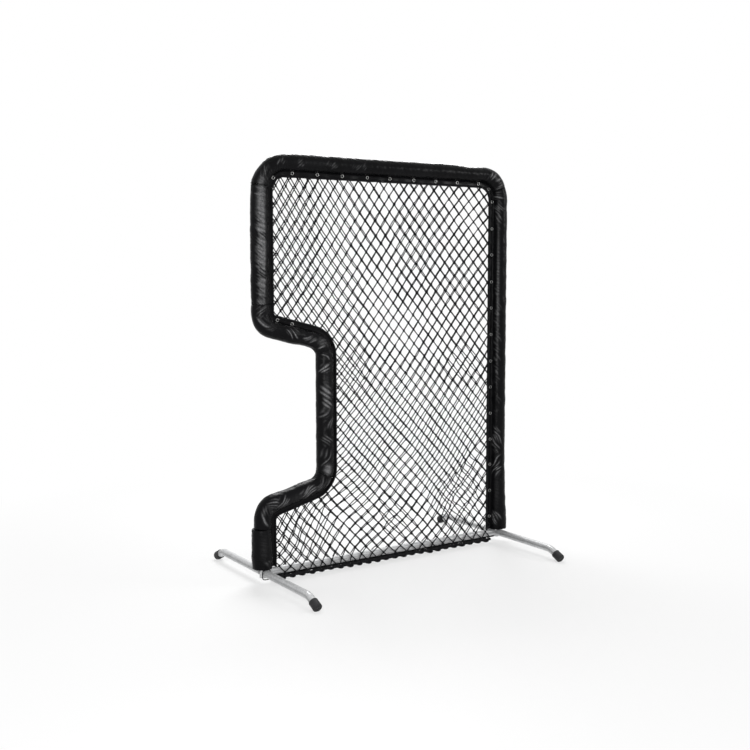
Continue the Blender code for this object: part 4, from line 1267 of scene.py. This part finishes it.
class SCREEN_OT_bottom_lacing(bpy.types.Operator):
    """Build the border ropes of the net and the rope that laces them under the rail"""

    bl_idname = "screen.build_bottom_lacing"
    bl_label = "Bottom lacing"

    def execute(self, context):
        cords, net = context.scene.screen_cords, context.scene.screen_net
        edge = HALF_WIDTH - LACING_INSET
        pitch = 2 * edge / cords.loops
        # Loops: a rounded square in depth and height, while x moves on.
        turn = np.linspace(0, 2 * np.pi * cords.loops, 60 * cords.loops + 1)
        sway = waves(8, 5, 0.1, 0.5, turn * pitch / (2 * np.pi))
        depth, height = squared_circle(turn + np.pi / 2, 0.6)
        low = np.clip(-height, 0, 1)
        path = np.stack(
            [
                pitch * turn / (2 * np.pi) - edge + 0.004 * sway * low,
                -(LOOP_DEPTH + 0.0008 * sway) * depth,
                LOOP_MIDDLE + LOOP_HEIGHT * height - (0.0006 + 0.0012 * sway) * low,
            ],
            1,
        )
        # At both ends the rope runs up to the post, close under the rail.
        run = np.linspace(0, 1, 12)[:-1, None]
        seat = TUBE_RADIUS + SEAT_GAP
        top = np.array([HALF_WIDTH - seat, 0, RAIL_AXIS - seat - cords.rope])
        lead = top * [-1, 1, 1] + run * (path[0] - top * [-1, 1, 1])
        tail = top + run * (path[-1] - top)
        path = np.concatenate([lead, path, tail[::-1]])
        s = np.concatenate([[0], np.linalg.norm(np.diff(path, axis=0), axis=1).cumsum()])
        blend = smooth((s - 0.045) / 0.015) * smooth((s[-1] - s - 0.045) / 0.015)
        reference = np.stack([blend, 0 * blend, 1 - blend], 1) + 1e-4
        reference /= np.linalg.norm(reference, axis=1, keepdims=True)
        lumps = 1 + np.pad((0.40 + 0.25 * sway) * low, len(run))
        rings = swept_rings(path, laid_radius(cords.rope, s, 12, 0.018) * lumps[:, None], 12, reference)
        make_cord("bottom_lacing", rings, s, "lacing_rope", nodes=["bottom_lacing_rope"])
        x = np.linspace(-edge - 0.004, edge + 0.004, 460)
        for name, side in (("front_hem_rope", -1), ("back_hem_rope", 1)):
            sag = 0.0008 * waves(14 + side, 5, 0.05, 0.3, x)
            path = np.stack([x, side * (net.spread - 0.0015 + 0.3 * sag), net.hem - 0.001 + sag], 1)
            gathered = 1 + 0.14 * np.sin(2 * np.pi * x / pitch + 1)
            gathered += 0.08 * waves(24 + side, 4, 0.03, 0.08, x)
            radius = laid_radius(net.hem_rope, x, 10, 0.020) * gathered[:, None]
            make_cord(name, swept_rings(path, radius, 10, (0.0, 0.0, 1.0)), x, "lacing_rope")
        return {"FINISHED"}


TIE_TOP, TIE_BOTTOM = 0.0768, 0.0262  # heights of the foot tie's ends
TIE_HALF_WIDTH = 0.0224
TIE_OFFSET = 0.034  # from the post's axis forward to the tie


class SCREEN_OT_foot_tie(bpy.types.Operator):
    """Build the cord that ties the left pad's foot to the leg"""

    bl_idname = "screen.build_foot_tie"
    bl_label = "Foot tie"

    def execute(self, context):
        cords = context.scene.screen_cords
        turn = np.linspace(0, 2 * np.pi, 161)[:-1]
        across, up = squared_circle(turn, 0.55)
        path = np.stack(
            [
                TIE_HALF_WIDTH * across - HALF_WIDTH,
                -TIE_OFFSET + 0.0012 * np.sin(2 * turn),
                (TIE_TOP + TIE_BOTTOM) / 2 + (TIE_TOP - TIE_BOTTOM) / 2 * up,
            ],
            1,
        )
        # One more point at each end, left out again, gives the seam its directions.
        rings = swept_rings(np.concatenate([path[-1:], path, path[:1]]), cords.tie, 10, ACROSS)[1:-1]
        make_cord("foot_tie", rings, turn * 0.026, "thin_cord", closed=True, nodes=["foot_tie_cord"])
        return {"FINISHED"}


# Tubes and caps

CRISP = 0.7  # radians between faces, past which an edge of steel isn't rounded


def tube_shell(path, reference, sides=48):
    """An open tube with its wall: rings go out along the outside, turn in at the end and come back inside."""
    outer = swept_rings(path, TUBE_RADIUS, sides, reference)
    inner = swept_rings(path, TUBE_RADIUS - TUBE_WALL, sides, reference)
    rings = np.concatenate([outer, inner[::-1]])
    return rings, grid_quads(len(rings), sides, wrap_rows=True)


def painted_shade_band(path, rings):
    """How far a point is on the painted shade band along a level tube's side: exp(-((its height - 0.15) /
    0.34)^2).

    The height is that above the tube's axis, as a share of the radius.
    """
    axis = np.concatenate([path, path[::-1]])[:, None, 2]
    return np.exp(-((((rings[..., 2] - axis) / TUBE_RADIUS - 0.15) / 0.34) ** 2))


def leg_line(settings):
    """A leg's centre line as (out from the post, height): straight, an arc, and a straight tail."""
    cos, sin = math.cos(settings.droop), math.sin(settings.droop)
    rim = settings.cap_radius - settings.cap_round
    end_height = settings.cap_round + rim * cos - settings.cap_round * sin - settings.cap_sole
    tail = (RAIL_AXIS - settings.bend * (1 - cos) - end_height) / sin - settings.cap_floor - SEAT_GAP
    angles = np.linspace(0, settings.droop, 14)
    straight = np.stack([np.linspace(0, settings.run, 24)[:-1], np.zeros(23)], 1)
    arc = np.stack([settings.run + settings.bend * np.sin(angles), settings.bend * (np.cos(angles) - 1)], 1)
    ends = arc[-1] + np.linspace(0, tail, 8)[1:, None] * np.array([cos, -sin])
    return np.concatenate([straight, arc, ends])


# Each leg's name, and the way to it in x and y
LEGS = (("left_front", -1, -1), ("left_rear", -1, 1), ("right_front", 1, -1), ("right_rear", 1, 1))


class SCREEN_OT_tubes(bpy.types.Operator):
    """Build the steel tubes that show: post feet, bottom rail and legs"""

    bl_idname = "screen.build_tubes"
    bl_label = "Steel tubes"

    def execute(self, context):
        splice = (MARKS[4] + MARKS[5]) / 2 - SEAT_GAP
        right = MARKS[13] - (RIGHT_SPLICE - POST_FOOT) + SEAT_GAP
        for name, first, last in (("lower_notch", 0.0, splice), ("right_lower_post", right, MARKS[13])):
            rings, quads = tube_shell(beside_route(np.linspace(first, last, 150), 0.0, 0.0), ACROSS)
            make_piece(name, rings, quads, "galvanised_steel", nodes=[name + "_tube"], sharp=CRISP)
        start = HALF_WIDTH - TUBE_RADIUS - SEAT_GAP
        x = np.linspace(-start, start, 40)
        level = [("rail", "bottom_rail", "screen", np.stack([x, 0 * x, RAIL_AXIS + 0 * x], 1), ACROSS)]
        line = leg_line(context.scene.screen_legs)
        out = TUBE_RADIUS + SEAT_GAP + line[:, 0]
        for name, side, way in LEGS:
            path = np.stack([np.full(len(out), side * HALF_WIDTH), way * out, RAIL_AXIS + line[:, 1]], 1)
            level.append((name + "_leg_steel", name + "_leg_tube", name + "_leg", path, (1.0, 0.0, 0.0)))
        # The level tubes carry a painted shade band along their side, as the attribute that their finish
        # reads.
        for name, node, body, path, reference in level:
            rings, quads = tube_shell(path, reference)
            make_piece(
                name, rings, quads, "galvanised_steel", body=body,
                painted_light=painted_shade_band(path, rings), nodes=[node], sharp=CRISP,
            )
        return {"FINISHED"}


def cap_section(settings):
    """A cap's section as (radius, height), from the middle of its end.

    It goes round the rim on a quarter circle, up the side, which narrows a little, over a bead at the mouth,
    down the bore, and back to the middle of the cap's floor.
    """
    bore = TUBE_RADIUS + SEAT_GAP
    radius, rounding, mouth = settings.cap_radius, settings.cap_round, settings.cap_length
    middle, taper, out, up = 0.0003, 0.0005, 0.0010, 0.0026
    rim = np.linspace(0, np.pi / 2, 7)
    wall = np.linspace(rounding, mouth - 0.006, 12)[1:]
    bead = np.linspace(0, np.pi, 7)
    return np.concatenate(
        [
            [(middle, 0.0), (radius * 0.45, 0.0)],
            np.stack([radius - rounding + rounding * np.sin(rim), rounding - rounding * np.cos(rim)], 1),
            np.stack([radius - taper * smooth((wall - 0.012) / 0.02), wall], 1),
            np.stack([radius - out + out * np.sin(bead), mouth - 0.0028 - up * np.cos(bead)], 1),
            [
                (bore + 0.0006, mouth), (bore, mouth - 0.0008),
                (bore, settings.cap_floor), (middle, settings.cap_floor),
            ],
        ]
    )


class SCREEN_OT_caps(bpy.types.Operator):
    """Build the four rubber caps"""

    bl_idname = "screen.build_caps"
    bl_label = "Rubber caps"

    def execute(self, context):
        legs = context.scene.screen_legs
        radius, back = cap_section(legs).T[..., None]
        angles = around(56)
        across, lift = radius * np.cos(angles), radius * np.sin(angles)
        cos, sin = math.cos(legs.droop), math.sin(legs.droop)
        end = leg_line(legs)[-1] + (legs.cap_floor + SEAT_GAP) * np.array([cos, -sin])
        out = TUBE_RADIUS + SEAT_GAP + end[0] - back * cos + lift * sin
        height = np.maximum(RAIL_AXIS + end[1] + back * sin + lift * cos, 0.0)
        quads = grid_quads(*out.shape, wrap_rows=True)
        for name, side, way in LEGS:
            points = np.stack([side * HALF_WIDTH + across, way * out, height], -1)
            facing_out = quads if way > 0 else quads[:, ::-1]
            make_piece(
                name + "_rubber_cap", points, facing_out, "cap_rubber",
                body=name + "_leg", nodes=[name + "_leg_cap"],
            )
        return {"FINISHED"}


class SCREEN_OT_carried_finishes(bpy.types.Operator):
    """Give the solid model's own pieces their finishes"""

    bl_idname = "screen.finish_solids"
    bl_label = "Finishes of the solids"

    def execute(self, context):
        for part in frame["record"]["subparts"]:
            solid = frame["nodes"][part["node"]]
            if not solid.hide_render:
                for slot in solid.material_slots:
                    slot.material = finish_named(part["material_slot"])
        return {"FINISHED"}


# Stage

# The lamps: name, place, what they point at, width and height, and power in watts
LAMPS = (
    ("key", (-2.05, -2.45, 1.45), (-0.45, 0.0, 1.45), (1.25, 1.7), 46),
    ("top", (1.0, 2.0, 3.5), (-0.5, -0.2, 0.0), (2.2, 2.2), 140),
    ("right", (4.0, -3.2, 2.6), (0, 0, 1.0), (2.2, 1.3), 60),
)
FLOOR_CORNERS = ((-14, -14, 0), (14, -14, 0), (14, 14, 0), (-14, 14, 0))
SKY_LIGHT = 0.32  # strength of the world as a light, where 1 is white
SHADOW_NEAR, SHADOW_FAR = 1.2, 3.0  # between these distances from the middle the floor's shadow fades out
PLAIN_WHITE = 0.60  # share of plain white in the floor near the screen
WHITE = (1, 1, 1, 1)


class SCREEN_OT_stage(bpy.types.Operator):
    """Build the floor, the soft lights and the camera"""

    bl_idname = "screen.build_stage"
    bl_label = "Stage"

    def execute(self, context):
        context.scene.view_settings.view_transform = "Standard"
        self.add_floor(context.scene)
        self.add_world(context.scene)
        self.add_lamps(context.scene)
        self.add_camera(context.scene)
        return {"FINISHED"}

    def add_floor(self, scene):
        mesh = bpy.data.meshes.new("floor")
        mesh.from_pydata(FLOOR_CORNERS, [], [(0, 1, 2, 3)])
        floor = bpy.data.objects.new("floor", mesh)
        scene.collection.objects.link(floor)
        mesh.materials.append(bpy.data.materials.new("floor"))
        n = Nodes(mesh.materials[0])
        n.set(Base_Color=(*scene.screen_stage.floor_colour, 1.0), Roughness=0.9, Specular_IOR_Level=0.1)
        # Round the screen the floor is in part plain white and in part takes its shadow. Farther out it is
        # all plain white, so that no edge shows.
        away = n.add("ShaderNodeVectorMath", {0: n.place()}, operation="LENGTH").outputs["Value"]
        limits = {"From Min": SHADOW_NEAR, "From Max": SHADOW_FAR, "To Min": PLAIN_WHITE, "To Max": 1.0}
        plain = n.add("ShaderNodeMapRange", {"Value": away, **limits}).outputs["Result"]
        glow = n.add("ShaderNodeEmission", {"Color": WHITE, "Strength": 1.0}).outputs[0]
        share = n.math("MULTIPLY", n.background_rays(), plain)
        both = n.add("ShaderNodeMixShader", {"Fac": share, 1: n.shader.outputs[0], 2: glow}).outputs[0]
        n.feed(n.tree.nodes["Material Output"].inputs["Surface"], both)

    def add_world(self, scene):
        scene.world = bpy.data.worlds.new("studio")
        n = Nodes(scene.world, "Background")
        levels = {"Value": n.background_rays(), "To Min": SKY_LIGHT, "To Max": 1.0}
        n.set(Color=WHITE, Strength=n.add("ShaderNodeMapRange", levels).outputs["Result"])

    def add_lamps(self, scene):
        for name, place, target, size, power in LAMPS:
            light = bpy.data.lights.new(name, "AREA")
            light.shape = "RECTANGLE"
            light.size, light.size_y = size
            light.energy = power
            lamp = bpy.data.objects.new(name, light)
            lamp.location = place
            lamp.rotation_euler = (Vector(target) - Vector(place)).to_track_quat("-Z", "Y").to_euler()
            scene.collection.objects.link(lamp)

    def add_camera(self, scene):
        settings = scene.screen_stage
        camera = bpy.data.objects.new("camera", bpy.data.cameras.new("camera"))
        camera.data.sensor_width = 36
        camera.data.lens = settings.lens
        yaw, pitch, roll = settings.camera_turn
        ahead = Vector((math.sin(yaw) * math.cos(pitch), math.cos(yaw) * math.cos(pitch), math.sin(pitch)))
        turn = ahead.to_track_quat("-Z", "Y").to_matrix() @ Matrix.Rotation(roll, 3, "Z")
        camera.matrix_world = Matrix.Translation(settings.camera_place) @ turn.to_4x4()
        scene.collection.objects.link(camera)
        scene.camera = camera


class SCREEN_PT_pieces(bpy.types.Panel):
    bl_label = "Pitching screen"
    bl_idname = "SCREEN_PT_pieces"
    bl_space_type = "VIEW_3D"
    bl_region_type = "UI"
    bl_category = "Screen"

    def draw(self, context):
        for operator in OPERATORS:
            self.layout.operator(operator.bl_idname)
        for name in SETTINGS:
            box = self.layout.box()
            group = getattr(context.scene, name)
            for key in group.bl_rna.properties.keys():
                if key not in ("rna_type", "name"):
                    box.prop(group, key)


OPERATORS = (
    SCREEN_OT_pads,
    SCREEN_OT_grommets,
    SCREEN_OT_stitches,
    SCREEN_OT_nets,
    SCREEN_OT_bottom_lacing,
    SCREEN_OT_foot_tie,
    SCREEN_OT_tubes,
    SCREEN_OT_caps,
    SCREEN_OT_carried_finishes,
    SCREEN_OT_stage,
)
SETTINGS = {
    "screen_colours": ScreenColours,
    "screen_pads": PadSettings,
    "screen_net": NetSettings,
    "screen_cords": CordSettings,
    "screen_legs": LegSettings,
    "screen_stage": StageSettings,
}


def register():
    for group in (*SETTINGS.values(), *OPERATORS, SCREEN_PT_pieces):
        bpy.utils.register_class(group)
    for name, group in SETTINGS.items():
        setattr(bpy.types.Scene, name, PointerProperty(type=group))


def unregister():
    for name in SETTINGS:
        delattr(bpy.types.Scene, name)
    for group in reversed((*SETTINGS.values(), *OPERATORS, SCREEN_PT_pieces)):
        bpy.utils.unregister_class(group)


def main():
    register()
    for operator in OPERATORS:
        group, call = operator.bl_idname.split(".")
        getattr(getattr(bpy.ops, group), call)()


if __name__ == "__main__":
    main()
